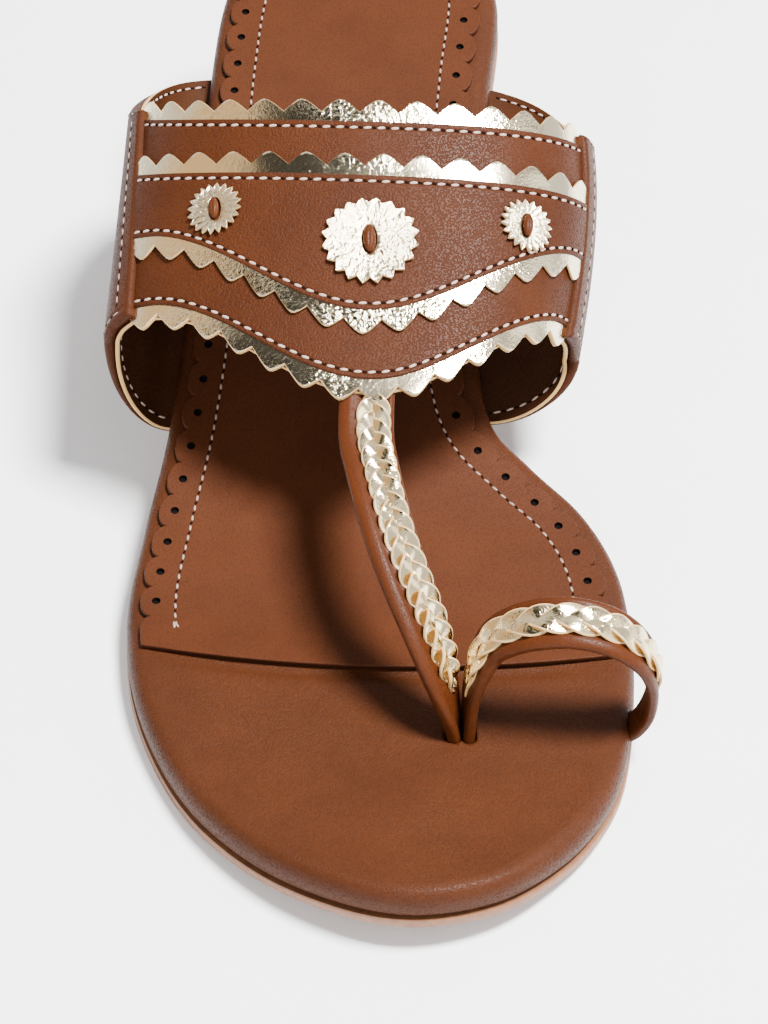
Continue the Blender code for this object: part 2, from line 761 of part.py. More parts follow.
def make_rosette(name, girth, place, radius, teeth, finish, collection):
    """A pinked disc with an upright slot, lying on the panel."""
    slot_long, slot_wide = KNOT_LENGTH / 2 + GAP, KNOT_WIDTH / 2 + GAP
    scale = knot_scale(radius)
    rows = []
    for k in range(2 * teeth + 1):
        angle = math.pi * k / teeth
        rim = radius - (ROSETTE_TOOTH if k % 2 else 0.0)
        hole = Vector((slot_wide * scale * math.cos(angle), slot_long * scale * math.sin(angle)))
        edge = Vector((rim * math.cos(angle), rim * math.sin(angle)))
        row = []
        for share in (0.0, 1.0):
            spot = hole.lerp(edge, share)
            row.append(on_panel(girth, place, spot.x, spot.y, PANEL_LIFT + GAP + ROSETTE_THICK))
        rows.append(row)
    return sheet("rosette_" + name, rows, ROSETTE_THICK, finish, collection)


def make_knot(name, girth, place, radius, finish, collection):
    """The leather knot that comes up through a rosette's slot."""
    scale = knot_scale(radius)
    rings = []
    for height, spread in KNOT_LEVELS:
        ring = []
        for k in range(KNOT_SIDES):
            angle = 2 * math.pi * k / KNOT_SIDES
            x = KNOT_WIDTH / 2 * scale * spread * math.cos(angle)
            y = KNOT_LENGTH / 2 * scale * spread * math.sin(angle)
            ring.append(on_panel(girth, place, x, y, PANEL_LIFT + GAP + KNOT_HEIGHT * height))
        rings.append(ring)
    return closed_loft("knot_" + name, rings, finish, collection)


# Straps

def strap_frames(rows, count, start=0.0, end=1.0):
    """Centre, sideways and outer directions and width share at even steps along a strap."""
    dense = through(rows, 400)
    points = np.array([world(*(row[1], row[0], row[2])) for row in dense])
    run = np.concatenate([[0], np.cumsum(np.linalg.norm(np.diff(points, axis=0), axis=1))])
    frames = []
    for share in np.linspace(start, end, count):
        at = share * run[-1]
        here = Vector([np.interp(at, run, points[:, k]) for k in range(3)])
        ahead = Vector([np.interp(min(at + TANGENT_STEP, run[-1]), run, points[:, k]) for k in range(3)])
        back = Vector([np.interp(max(at - TANGENT_STEP, 0.0), run, points[:, k]) for k in range(3)])
        outer = Vector([np.interp(at, run, dense[:, k]) for k in (3, 4, 5)])
        along = (ahead - back).normalized()
        sideways = along.cross(outer).normalized()
        outer = sideways.cross(along).normalized()
        frames.append((here, sideways, outer, float(np.interp(at, run, dense[:, 6]))))
    return frames, float(run[-1])


def make_strap(name, rows, count, width, thick, finish, collection, grow=0.0, start=0.0, end=1.0):
    """A padded strap: a rounded section swept along its route, or room for one when it grows."""
    frames = strap_frames(rows, count, start, end)[0]
    if grow:
        for i in (0, -1):
            centre, sideways, outer, share = frames[i]
            onward = sideways.cross(outer) * (grow if i == 0 else -grow)
            frames[i] = (centre + onward, sideways, outer, share)
    rings = []
    for centre, sideways, outer, share in frames:
        ring = []
        for k in range(STRAP_SIDES):
            angle = 2 * math.pi * (k + 0.5) / STRAP_SIDES
            u = math.copysign(abs(math.cos(angle)) ** STRAP_SQUARE_ACROSS, math.cos(angle))
            w = math.copysign(abs(math.sin(angle)) ** STRAP_SQUARE_OUT, math.sin(angle))
            across = sideways * (u * (width * share / 2 + grow))
            ring.append(centre + across + outer * (w * (thick / 2 + grow)))
        rings.append(ring)
    return closed_loft(name, rings, finish, collection)


def make_braid(name, rows, width, thick, span, finish, collection):
    """A flat plait on a strap's face: each link widens and rises from the nip of the one before."""
    start, end = span
    links = round(strap_frames(rows, 2)[1] * (end - start) / BRAID_LINK)
    frames, _ = strap_frames(rows, 2 * links + 1, start, end)
    rings = []
    for i, (centre, sideways, outer, share) in enumerate(frames):
        full = i % 2
        half = width / 2 * share * (1.0 if full else 1 - BRAID_NIP)
        high = BRAID_THICK * (1.0 if full else BRAID_NIP_HEIGHT)
        floor = centre + outer * (thick / 2 + GAP)
        ring = []
        for u, w in BRAID_SECTION:
            ring.append(floor + sideways * (u * half) + outer * (w * high))
        rings.append(ring)
    return closed_loft(name, rings, finish, collection)


def centre_strap_rows():
    """The centre strap's route, starting under the vamp's point."""
    found = []
    for back in (STRAP_TUCKED, STRAP_LEAVES):
        place = edge_place("vamp_front", POINT_CENTRE, -back)
        here, _, _, normal = band_frame(POINT_CENTRE, place)
        here = here - (WALL_INSIDE - STRAP_OVERLAP + STRAP_THICK / 2) * normal
        found.append((here[1], here[0], here[2], normal[0], -normal[1], normal[2], 1.0))
    return tuple(found) + CENTRE_STRAP


def make_upper(finish, collection, cutters):
    """The band and both toe straps as one hollow solid."""
    upper = make_wall("upper", 0.0, finish, collection)
    centre = make_strap(
        "upper_centre_strap", centre_strap_rows(), 25, STRAP_WIDTH, STRAP_THICK, finish, cutters
    )
    ring = make_strap("upper_toe_ring", TOE_RING, 31, RING_WIDTH, RING_THICK, finish, cutters)
    boolean(upper, centre, "UNION")
    boolean(upper, ring, "UNION")
    return upper


def cut_footbed(footbed, cutters):
    """Room in the footbed for the lasted band and for the ends of the toe straps."""
    for side, word in ((-1, "lateral"), (1, "medial")):
        boolean(footbed, make_wall("room_band_" + word, GAP, None, cutters, side), "DIFFERENCE")
    rooms = (
        ("room_post", centre_strap_rows(), 7, STRAP_WIDTH, STRAP_THICK, 0.75, 1.0),
        ("room_ring_post", TOE_RING, 7, RING_WIDTH, RING_THICK, 0.0, 0.2),
        ("room_ring_end", TOE_RING, 10, RING_WIDTH, RING_THICK, 0.7, 1.0),
    )
    for name, rows, count, width, thick, start, end in rooms:
        room = make_strap(name, rows, count, width, thick, None, cutters, GAP, start, end)
        boolean(footbed, room, "DIFFERENCE")


# Build

def main():
    for obj in list(bpy.data.objects):
        bpy.data.objects.remove(obj, do_unlink=True)
    sandal = bpy.data.collections.new("kolhapuri_sandal")
    cutters = bpy.data.collections.new("cutters")
    for collection in (sandal, cutters):
        bpy.context.scene.collection.children.link(collection)
    brown = material("brown_leather", (0.270, 0.098, 0.045), 0.48)
    gold = material("gold_leather", (0.820, 0.640, 0.400), 0.30, 1.0)
    sole = material("outsole_resin", (0.420, 0.180, 0.095), 0.60)
    rubber = material("heel_rubber", (0.060, 0.030, 0.018), 0.75)
    make_outsole(sole, sandal)
    footbed = make_footbed(brown, sandal)
    make_heel(brown, sandal)
    make_heel_tip(rubber, sandal)
    make_sock(brown, sandal)
    make_upper(brown, sandal, cutters)
    cut_footbed(footbed, cutters)
    low = -LINING_FACE + GAP + GOLD_THICK
    high = -VAMP_FACE + GAP + GOLD_THICK
    make_gold("gold_strip_rear", "vamp_rear", -GOLD_REACH, low, gold, sandal)
    make_gold("gold_strip_panel_rear", "panel_rear", -GOLD_REACH, high, gold, sandal)
    make_gold("gold_strip_panel_front", "panel_front", GOLD_REACH, high, gold, sandal)
    make_gold("gold_strip_front", "vamp_front", GOLD_REACH, low, gold, sandal)
    make_panel(brown, sandal)
    for name, girth, place, radius, teeth in ROSETTES:
        make_rosette(name, girth, place, radius, teeth, gold, sandal)
        make_knot(name, girth, place, radius, brown, sandal)
    strap_rows = centre_strap_rows()
    make_braid("centre_braid", strap_rows, BRAID_WIDTH, STRAP_THICK, CENTRE_BRAID_SPAN, gold, sandal)
    make_braid("ring_braid", TOE_RING, RING_BRAID_WIDTH, RING_THICK, RING_BRAID_SPAN, gold, sandal)
    for obj in cutters.objects:
        obj.hide_render = True
        obj.display_type = "WIRE"


main()
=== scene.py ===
# %% [markdown]
# A right-foot toe-ring sandal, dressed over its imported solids. The solids keep the sizes, so every leather
# piece here is laid on the same named surfaces: the sole's outline and side profile, the ribs of the
# instep band, and the routes of the two toe straps. All numbers are metres in the frame of the solids.

# %% Load the frame
import json
import math

import bpy
import numpy as np
from mathutils import Matrix, Vector

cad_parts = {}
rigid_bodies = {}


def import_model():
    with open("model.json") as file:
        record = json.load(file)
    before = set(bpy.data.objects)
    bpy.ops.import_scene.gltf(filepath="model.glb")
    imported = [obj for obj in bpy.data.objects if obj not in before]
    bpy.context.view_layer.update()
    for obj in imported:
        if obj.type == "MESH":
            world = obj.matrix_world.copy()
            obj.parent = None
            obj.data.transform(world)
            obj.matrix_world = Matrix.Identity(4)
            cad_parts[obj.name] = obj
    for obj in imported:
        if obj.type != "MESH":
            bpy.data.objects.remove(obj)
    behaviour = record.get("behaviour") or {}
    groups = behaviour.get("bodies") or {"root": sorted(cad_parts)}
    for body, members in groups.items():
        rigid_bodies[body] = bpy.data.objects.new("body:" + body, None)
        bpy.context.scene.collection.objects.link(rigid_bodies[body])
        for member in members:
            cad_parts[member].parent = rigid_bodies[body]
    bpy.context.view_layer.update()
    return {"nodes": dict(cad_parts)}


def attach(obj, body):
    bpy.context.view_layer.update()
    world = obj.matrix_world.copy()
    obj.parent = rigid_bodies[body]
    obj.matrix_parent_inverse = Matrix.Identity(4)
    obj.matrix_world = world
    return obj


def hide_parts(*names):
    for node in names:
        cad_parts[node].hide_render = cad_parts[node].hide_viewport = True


for startup in list(bpy.data.objects):
    bpy.data.objects.remove(startup, do_unlink=True)
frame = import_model()
print("nodes in the frame:", len(frame["nodes"]))

# %% [markdown]
# The photograph looks down on the toe from in front, at about 42 degrees, with a long lens. Such a lens
# could be guessed by eye, but a wrong one would bend the whole picture, so its place, its direction
# and its small roll come from a fit of the sole's outline to the picture.

# %% Camera
CAMERA_PLACE = Vector((-0.00252, -0.56947, 0.42063))
CAMERA_AHEAD = Vector((0.00983, 0.74308, -0.66913)).normalized()
CAMERA_TURN = math.radians(-0.758)
CAMERA_ROLL = math.radians(-0.064)
CAMERA_LENS = 120.15

across_view = Vector((math.cos(CAMERA_TURN), math.sin(CAMERA_TURN), 0.0))
across_view = Matrix.Rotation(CAMERA_ROLL, 3, CAMERA_AHEAD) @ across_view
up_view = across_view.cross(CAMERA_AHEAD)
photo_camera = bpy.data.objects.new("photo_camera", bpy.data.cameras.new("photo_camera"))
photo_camera.data.lens = CAMERA_LENS
photo_camera.matrix_world = Matrix((
    (across_view.x, up_view.x, -CAMERA_AHEAD.x, CAMERA_PLACE.x),
    (across_view.y, up_view.y, -CAMERA_AHEAD.y, CAMERA_PLACE.y),
    (across_view.z, up_view.z, -CAMERA_AHEAD.z, CAMERA_PLACE.z),
    (0.0, 0.0, 0.0, 1.0),
))
bpy.context.scene.collection.objects.link(photo_camera)
bpy.context.scene.camera = photo_camera
print("camera height over the floor:", CAMERA_PLACE.z)

# %% [markdown]
# Small tools come first. Blender's operators act on whatever is selected, so each new piece starts from
# an empty selection. Operators are used where a modeller would use them, and arrays where every point of
# a piece has a place that is known.

# %% Small tools for pieces
def deselect():
    bpy.ops.object.select_all(action="DESELECT")


def pick(*pieces):
    """Selects these pieces alone, with the first one active."""
    deselect()
    for piece in pieces:
        piece.select_set(True)
    bpy.context.view_layer.objects.active = pieces[0]


def points_of(piece):
    flat = np.zeros(len(piece.data.vertices) * 3, np.float32)
    piece.data.vertices.foreach_get("co", flat)
    return flat.reshape(-1, 3).astype(float)


def place_points(piece, points):
    piece.data.vertices.foreach_set("co", points.astype(np.float32).ravel())
    piece.data.update()


def mark_points(piece, label, values):
    """One number for each point, which the finishes read."""
    mark = piece.data.attributes.new(label, "FLOAT", "POINT")
    mark.data.foreach_set("value", values.astype(np.float32).ravel())


def turn_outwards(piece, merge=0.0):
    """Turns the faces outwards, after merging points that are closer than a given distance."""
    pick(piece)
    bpy.ops.object.mode_set(mode="EDIT")
    bpy.ops.mesh.select_all(action="SELECT")
    if merge:
        bpy.ops.mesh.remove_doubles(threshold=merge)
    bpy.ops.mesh.normals_make_consistent(inside=False)
    bpy.ops.object.mode_set(mode="OBJECT")


def join(name, pieces):
    pick(*pieces)
    bpy.ops.object.join()
    whole = bpy.context.object
    whole.name = whole.data.name = name
    return whole


def cut_away(piece, cutter, material_mode="INDEX"):
    """Cuts a piece by another one, which is used up."""
    cut = piece.modifiers.new("cut", "BOOLEAN")
    cut.operation, cut.solver, cut.object = "DIFFERENCE", "EXACT", cutter
    cut.material_mode = material_mode
    pick(piece)
    bpy.ops.object.modifier_apply(modifier=cut.name)
    bpy.data.objects.remove(cutter, do_unlink=True)


def unit(vectors):
    return vectors / np.maximum(np.linalg.norm(vectors, axis=-1, keepdims=True), 1e-12)


def run_along(points):
    """The length run along a line up to each of its points."""
    return np.concatenate([[0], np.cumsum(np.linalg.norm(np.diff(points, axis=0), axis=1))])


def read_line(points, run, at):
    """A line's values where these lengths have been run."""
    return np.stack([np.interp(at, run, column) for column in points.T], 1)


# %% [markdown]
# A node tree reads best when one line makes one node with its inputs, so a few short functions stand for
# the kinds of node that come back in every finish.

# %% Small tools for finishes
def put(tree, kind, links=None, **settings):
    """One node of a tree, with its inputs given as values or as other nodes' outputs."""
    node = tree.nodes.new(kind)
    for name, value in settings.items():
        setattr(node, name, value)
    for socket, source in (links or {}).items():
        if isinstance(source, bpy.types.NodeSocket):
            tree.links.new(source, node.inputs[socket])
        else:
            node.inputs[socket].default_value = source
    return node


def maths(tree, operation, *values):
    return put(tree, "ShaderNodeMath", dict(enumerate(values)), operation=operation).outputs[0]


def remap(tree, value, low, high, to_low=0.0, to_high=1.0, kind="LINEAR"):
    """A value's range from low to high becomes another range."""
    ends = {"Value": value, "From Min": low, "From Max": high, "To Min": to_low, "To Max": to_high}
    return put(tree, "ShaderNodeMapRange", ends, interpolation_type=kind).outputs[0]


def noise(tree, spot, scale, detail, roughness=0.5, distortion=0.0, output=0):
    return put(tree, "ShaderNodeTexNoise", {
        "Vector": spot, "Scale": scale, "Detail": detail, "Roughness": roughness, "Distortion": distortion,
    }).outputs[output]


def mix_colour(tree, factor, first, second):
    """Colour sockets or plain colours mixed by a factor."""
    first, second = (c if isinstance(c, bpy.types.NodeSocket) else (*c, 1.0) for c in (first, second))
    return put(tree, "ShaderNodeMix", {0: factor, 6: first, 7: second}, data_type="RGBA").outputs[2]


def new_group(name, inputs, outputs):
    """An empty shader group with its number sockets, its input node and its output node."""
    group = bpy.data.node_groups.new(name, "ShaderNodeTree")
    for label, value in inputs.items():
        group.interface.new_socket(label, in_out="INPUT", socket_type="NodeSocketFloat").default_value = value
    for label in outputs:
        group.interface.new_socket(label, in_out="OUTPUT", socket_type="NodeSocketFloat")
    return group, group.nodes.new("NodeGroupInput"), group.nodes.new("NodeGroupOutput")


def close_group(group, out, **sources):
    for label, source in sources.items():
        group.links.new(source, out.inputs[label])
    print("group:", group.name)


def new_finish(name, colour):
    """A material with its tree and its shader."""
    made = bpy.data.materials.new(name)
    made.use_nodes = True
    made.diffuse_color = (*colour, 1.0)
    return made, made.node_tree, made.node_tree.nodes["Principled BSDF"]


def cover(tree, shader, colour, roughness, height, bump, depth):
    """A finish's colour, roughness and relief go to its shader."""
    relief = put(tree, "ShaderNodeBump", {"Height": height, "Strength": bump, "Distance": depth}).outputs[0]
    for socket, source in (("Base Color", colour), ("Roughness", roughness), ("Normal", relief)):
        tree.links.new(source, shader.inputs[socket])


# %% [markdown]
# Leather grain is a net of small cushions with creases between them. A photograph of grain could be
# tiled, but it would stretch on curved pieces, so the net is a Voronoi pattern in the object's own space,
# bent a little by noise. One group serves every leather piece, each with its own scale.

# %% Grain group
tree, ins, outs = new_group("leather_grain", {"Scale": 2400.0, "Softness": 0.35}, ("Height", "Crease", "Tone"))
grain_group = tree
spot = put(tree, "ShaderNodeTexCoord").outputs["Object"]
sway = noise(tree, spot, 420.0, 2.0, output="Color")
drift = put(tree, "ShaderNodeVectorMath", {0: sway, "Scale": 0.0011}, operation="SCALE").outputs[0]
bent = put(tree, "ShaderNodeVectorMath", {0: spot, 1: drift}, operation="ADD").outputs[0]
cells = put(tree, "ShaderNodeTexVoronoi", {
    "Vector": bent, "Scale": ins.outputs["Scale"], "Smoothness": ins.outputs["Softness"],
}, feature="SMOOTH_F1").outputs["Distance"]
crease = remap(tree, cells, 0.38, 0.72, kind="SMOOTHSTEP")
level = maths(tree, "MULTIPLY_ADD", crease, -0.7, 0.7)
height = maths(tree, "MULTIPLY_ADD", noise(tree, spot, 5200.0, 3.0), 0.3, level)
close_group(tree, outs, Height=height, Crease=crease, Tone=noise(tree, spot, 55.0, 4.0, 0.6))

# %% [markdown]
# Foil leather is thin metal film over split leather. The film wrinkles into short sharp facets, so its
# reflections break up. Ridged noise at two sizes gives such facets, and a slow noise decides where the
# film lies flat and where it is crushed.

# %% Crinkle group
tree, ins, outs = new_group("foil_crinkle", {"Scale": 900.0, "Calm": 0.2}, ("Height", "Crush"))
crinkle_group = tree
spot = put(tree, "ShaderNodeTexCoord").outputs["Object"]
ridges = noise(tree, spot, ins.outputs["Scale"], 3.0, 0.55, 0.6)
folded = maths(tree, "ABSOLUTE", maths(tree, "SUBTRACT", ridges, 0.5))
facets = put(tree, "ShaderNodeTexVoronoi", {"Vector": spot, "Scale": 1900.0}).outputs["Distance"]
crush = remap(tree, noise(tree, spot, 70.0, 2.0), 0.34, 0.66, ins.outputs["Calm"], kind="SMOOTHSTEP")
both = maths(tree, "MULTIPLY_ADD", folded, 2.4, maths(tree, "MULTIPLY", facets, 0.45))
close_group(tree, outs, Height=maths(tree, "MULTIPLY", both, crush), Crush=crush)

# %% [markdown]
# A cut edge shows the raw middle of the hide, and the film or dye beside it is rubbed. Every slab below
# carries three numbers on its points: rim, which is 1 on the cut, under, which is 1 on the flesh side,
# and edge_mm, the distance from the nearest cut. One group turns them into clean masks for all finishes.

# %% Edge group
tree, ins, outs = new_group("cut_edge", {"Wear Width": 0.7}, ("Cut", "Under", "Worn"))
edge_group = tree
rim, under, away = (
    put(tree, "ShaderNodeAttribute", attribute_name=label).outputs["Fac"]
    for label in ("rim", "under", "edge_mm")
)
rag = noise(tree, put(tree, "ShaderNodeTexCoord").outputs["Object"], 1300.0, 3.0)
ragged = maths(tree, "MULTIPLY_ADD", rag, 0.9, away)
worn = remap(tree, ragged, 0.3, ins.outputs["Wear Width"], 1.0, 0.0, "SMOOTHSTEP")
close_group(tree, outs, Cut=remap(tree, rim, 0.15, 0.55), Under=under, Worn=worn)

# %% [markdown]
# Brown leather is one hide in several places: pebbled on the band, smoother on the padded sole and
# straps, dark on the lining. One function mixes the same three effects with other numbers, which keeps
# the pieces a family and each number easy to change.

# %% Leather finish
def leather_finish(name, colour, deep, scale, bump, gloss, cut_colour_and_shade=None, under_colour=None):
    made, tree, shader = new_finish(name, colour)
    grain = put(tree, "ShaderNodeGroup", node_tree=grain_group)
    grain.inputs["Scale"].default_value = scale
    edge = put(tree, "ShaderNodeGroup", node_tree=edge_group)
    base = mix_colour(tree, remap(tree, grain.outputs["Tone"], 0.32, 0.68), deep, colour)
    # The grain's creases are darkened: painted shade where the cushions shade each other.
    crease_shade = maths(tree, "MULTIPLY", grain.outputs["Crease"], 0.34)
    base = mix_colour(tree, crease_shade, base, [c * 0.45 for c in deep])
    rubbed = maths(tree, "MULTIPLY", edge.outputs["Worn"], 0.28)
    base = mix_colour(tree, rubbed, base, [c * 0.50 for c in colour])
    if under_colour:
        base = mix_colour(tree, edge.outputs["Under"], base, under_colour)
    # The cut edge takes its colour: raw tan on the lining, and on the sock lining a painted dark shade.
    if cut_colour_and_shade:
        base = mix_colour(tree, edge.outputs["Cut"], base, cut_colour_and_shade)
    rough = remap(tree, grain.outputs["Crease"], 0.0, 1.0, gloss, gloss + 0.22)
    cover(tree, shader, base, rough, grain.outputs["Height"], bump, 0.00012)
    shader.inputs["Specular IOR Level"].default_value = 0.16
    shader.inputs["IOR"].default_value = 1.33
    return made


TAN = (0.46, 0.28, 0.11)
BROWN = (0.047, 0.0124, 0.0033)
BROWN_DEEP = (0.035, 0.0090, 0.0024)
LINING_BROWN = (0.042, 0.0130, 0.0040)
LINING_DEEP = (0.028, 0.0085, 0.0028)
SOLE_BROWN = (0.052, 0.0146, 0.0044)
SOLE_DEEP = (0.040, 0.0110, 0.0033)
SOCK_BROWN = (0.053, 0.0146, 0.0044)
SOCK_DEEP = (0.041, 0.0110, 0.0033)
# Painted shade: the sock lining's cut wall is made this dark to stand for the shade along its lobes.
SOCK_CUT_SHADE = (0.016, 0.0045, 0.0016)
STRAP_BROWN = (0.060, 0.0152, 0.0038)
STRAP_DEEP = (0.046, 0.0114, 0.0028)
HEEL_BROWN = (0.054, 0.0140, 0.0036)
HEEL_DEEP = (0.042, 0.0106, 0.0027)

band_leather = leather_finish("band_leather", BROWN, BROWN_DEEP, 2700.0, 0.68, 0.40)
quarter_leather = leather_finish("quarter_leather", BROWN, BROWN_DEEP, 2800.0, 0.34, 0.46, None, LINING_BROWN)
lining_leather = leather_finish("lining_leather", LINING_BROWN, LINING_DEEP, 3200.0, 0.25, 0.45, TAN)
footbed_leather = leather_finish("footbed_leather", SOLE_BROWN, SOLE_DEEP, 2900.0, 0.58, 0.40)
sock_leather = leather_finish("sock_leather", SOCK_BROWN, SOCK_DEEP, 3100.0, 0.30, 0.44, SOCK_CUT_SHADE)
strap_leather = leather_finish("strap_leather", STRAP_BROWN, STRAP_DEEP, 3300.0, 0.22, 0.34)
heel_leather = leather_finish("heel_leather", HEEL_BROWN, HEEL_DEEP, 2600.0, 0.30, 0.38)
print("leather finishes: 7")

# %% [markdown]
# The gold is a pale champagne film. It is metal only on its face: the cut edges are raw tan leather and
# the flesh side is the same tan, so metallic, roughness and colour all follow the edge masks.

# %% Foil finish
def foil_finish(name, colour, scale, bump, rough_low, rough_high, calm=0.2):
    made, tree, shader = new_finish(name, colour)
    crinkle = put(tree, "ShaderNodeGroup", node_tree=crinkle_group)
    crinkle.inputs["Scale"].default_value = scale
    crinkle.inputs["Calm"].default_value = calm
    edge = put(tree, "ShaderNodeGroup", node_tree=edge_group)
    edge.inputs["Wear Width"].default_value = 0.55
    raw = maths(tree, "MAXIMUM", edge.outputs["Cut"], edge.outputs["Under"])
    rubbed = maths(tree, "MULTIPLY", edge.outputs["Worn"], 0.35)
    base = mix_colour(tree, raw, mix_colour(tree, rubbed, colour, (0.70, 0.52, 0.28)), TAN)
    tree.links.new(maths(tree, "SUBTRACT", 1.0, raw), shader.inputs["Metallic"])
    rough = remap(tree, crinkle.outputs["Crush"], 0.0, 1.0, rough_high, rough_low)
    rough = maths(tree, "MULTIPLY_ADD", raw, 0.45, rough)
    cover(tree, shader, base, rough, crinkle.outputs["Height"], bump, 0.00022)
    return made


GOLD = (0.86, 0.74, 0.51)
gold_foil = foil_finish("gold_foil", GOLD, 1150.0, 0.40, 0.11, 0.17, 0.18)
rosette_foil = foil_finish("rosette_foil", GOLD, 1700.0, 0.52, 0.12, 0.17, 0.7)
braid_foil = foil_finish("braid_foil", (0.80, 0.65, 0.39), 1100.0, 0.40, 0.11, 0.18)
print("foil finishes: 3")

# %% [markdown]
# The plain finishes are thread, the painted shade of a needle prick and of a punched hole, resin board and
# rubber.
# They still need their own small texture, or they would read as paint in a close view. The two darks are
# painted shade that stands for depth, so they mirror nothing.

# %% Plain finishes
def plain_finish(name, colour, other, scale, roughness, bump):
    made, tree, shader = new_finish(name, colour)
    speck = noise(tree, put(tree, "ShaderNodeTexCoord").outputs["Object"], scale, 4.0, 0.65)
    base = mix_colour(tree, remap(tree, speck, 0.35, 0.65), colour, other)
    rough = remap(tree, speck, 0.0, 1.0, roughness - 0.08, roughness + 0.1)
    cover(tree, shader, base, rough, speck, bump, 0.0001)
    return made


thread_finish = plain_finish("thread", (0.47, 0.34, 0.29), (0.31, 0.22, 0.185), 6000.0, 0.55, 0.5)
sock_thread = plain_finish("sock_thread", (0.30, 0.21, 0.165), (0.17, 0.12, 0.10), 6000.0, 0.6, 0.5)
# Near-black finishes for pricks and holes: painted shade for their depth.
prick_painted_shade = plain_finish("prick_painted_shade", (0.006, 0.003, 0.002), (0.012, 0.005, 0.003), 2500.0, 0.8, 0.3)
hole_painted_shade = plain_finish("hole_painted_shade", (0.003, 0.0025, 0.0025), (0.006, 0.005, 0.005), 2500.0, 0.9, 0.3)
for dark in (prick_painted_shade, hole_painted_shade):
    dark.node_tree.nodes["Principled BSDF"].inputs["Specular IOR Level"].default_value = 0.0
resin_board = plain_finish("resin_board", (0.19, 0.080, 0.034), (0.14, 0.056, 0.024), 700.0, 0.5, 0.35)
heel_rubber = plain_finish("heel_rubber", (0.050, 0.028, 0.018), (0.032, 0.018, 0.012), 900.0, 0.7, 0.45)
print("plain finishes: 6")

# %% [markdown]
# The sole is drawn by three small tables: its outline in plan, its side profile, and the round of the
# padded edge. They are the tables of the solids, so a dressed piece fits its solid without any fitting.

# %% Sole sizes
SOLE_LENGTH = 0.2345
BALL_WIDTH = 0.0885
HEEL_RISE = 0.0433
TOE_SPRING = 0.0052
OUTSOLE_THICK = 0.0016
FOOTBED_THICK = 0.0061
OUTSOLE_REACH = 0.0002
HEEL_CENTRE = 0.0270
GAP = 0.0003
OUTLINE = (
    (0.000, 0.000), (0.012, -0.130), (0.050, -0.228), (0.115, -0.296), (0.215, -0.328),
    (0.380, -0.356), (0.523, -0.399), (0.615, -0.444), (0.700, -0.472), (0.790, -0.441),
    (0.880, -0.343), (0.945, -0.205), (0.986, -0.050), (1.000, 0.090), (0.986, 0.235),
    (0.950, 0.350), (0.905, 0.435), (0.850, 0.490), (0.770, 0.520), (0.700, 0.521),
    (0.650, 0.498), (0.605, 0.440), (0.565, 0.345), (0.525, 0.265), (0.460, 0.240),
    (0.350, 0.248), (0.225, 0.281), (0.120, 0.306), (0.050, 0.235), (0.012, 0.130),
)
PROFILE = (
    (0.000, 1.000, 0.00), (0.128, 0.880, 0.00), (0.258, 0.723, 0.00), (0.387, 0.501, 0.00),
    (0.516, 0.236, 0.00), (0.644, 0.055, 0.00), (0.733, 0.000, 0.00), (0.830, 0.000, 0.00),
    (0.930, 0.000, 0.38), (1.000, 0.000, 1.00),
)
OUTLINE_POINTS = 1040
FOOTBED_EDGE = (
    (0.22, 0.00), (0.05, 0.10), (0.00, 0.32), (0.00, 0.56), (0.08, 0.78), (0.24, 0.94), (0.46, 1.00),
)


# %% Curves of the sole
def smooth_table(rows, column, at):
    """Values read from one column of a table at many places, without overshoot."""
    xs = np.array([row[0] for row in rows])
    ys = np.array([row[column] for row in rows])
    step = np.diff(xs)
    slope = np.diff(ys) / step
    tangent = np.zeros(len(xs))
    for i in range(1, len(xs) - 1):
        if slope[i - 1] * slope[i] > 0:
            before, after = 2 * step[i] + step[i - 1], step[i] + 2 * step[i - 1]
            tangent[i] = (before + after) / (before / slope[i - 1] + after / slope[i])
    tangent[0], tangent[-1] = slope[0], slope[-1]
    at = np.asarray(at, float)
    i = np.clip(np.searchsorted(xs, at) - 1, 0, len(xs) - 2)
    u = (at - xs[i]) / step[i]
    return (ys[i] * (1 + 2 * u) * (1 - u) ** 2 + tangent[i] * step[i] * u * (1 - u) ** 2
            + ys[i + 1] * u * u * (3 - 2 * u) + tangent[i + 1] * step[i] * u * u * (u - 1))


def cubic_weights(u):
    """Weights of four neighbours for a smooth curve through the middle two."""
    return np.stack([
        -u + 2 * u ** 2 - u ** 3, 2 - 5 * u ** 2 + 3 * u ** 3, u + 4 * u ** 2 - 3 * u ** 3, u ** 3 - u ** 2,
    ]) / 2


def through(points, count, closed=False):
    """count points of a smooth curve through the given ones."""
    pts = np.array(points, float)
    spans = len(pts) if closed else len(pts) - 1
    places = np.linspace(0, spans, count + 1)[:-1] if closed else np.linspace(0, spans, count)
    first = np.minimum(places.astype(int), spans - 1)
    weights = cubic_weights(places - first)
    found = 0
    for k in range(4):
        index = first + k - 1
        index = index % len(pts) if closed else np.clip(index, 0, len(pts) - 1)
        found = found + weights[k][:, None] * pts[index]
    return found


def world(x, place, z):
    """Points from the sideways place, the station along the floor and the height."""
    return np.stack(np.broadcast_arrays(x, HEEL_CENTRE - np.asarray(place), z), -1)


def under_z(place):
    """Height of the outsole's underside."""
    share = np.clip(np.asarray(place) / SOLE_LENGTH, 0, 1)
    return HEEL_RISE * smooth_table(PROFILE, 1, share) + TOE_SPRING * smooth_table(PROFILE, 2, share)


def top_z(place):
    """Height of the footbed's top."""
    return under_z(place) + OUTSOLE_THICK + GAP + FOOTBED_THICK


def outline(inset):
    """Points (x, place) of the sole's outline, moved inwards."""
    rows = [(across * BALL_WIDTH, along * SOLE_LENGTH) for along, across in OUTLINE]
    curve = through(rows, OUTLINE_POINTS, closed=True)
    ahead = np.roll(curve, -1, axis=0) - np.roll(curve, 1, axis=0)
    ahead /= np.linalg.norm(ahead, axis=1)[:, None]
    return curve + inset * np.stack([ahead[:, 1], -ahead[:, 0]], 1)


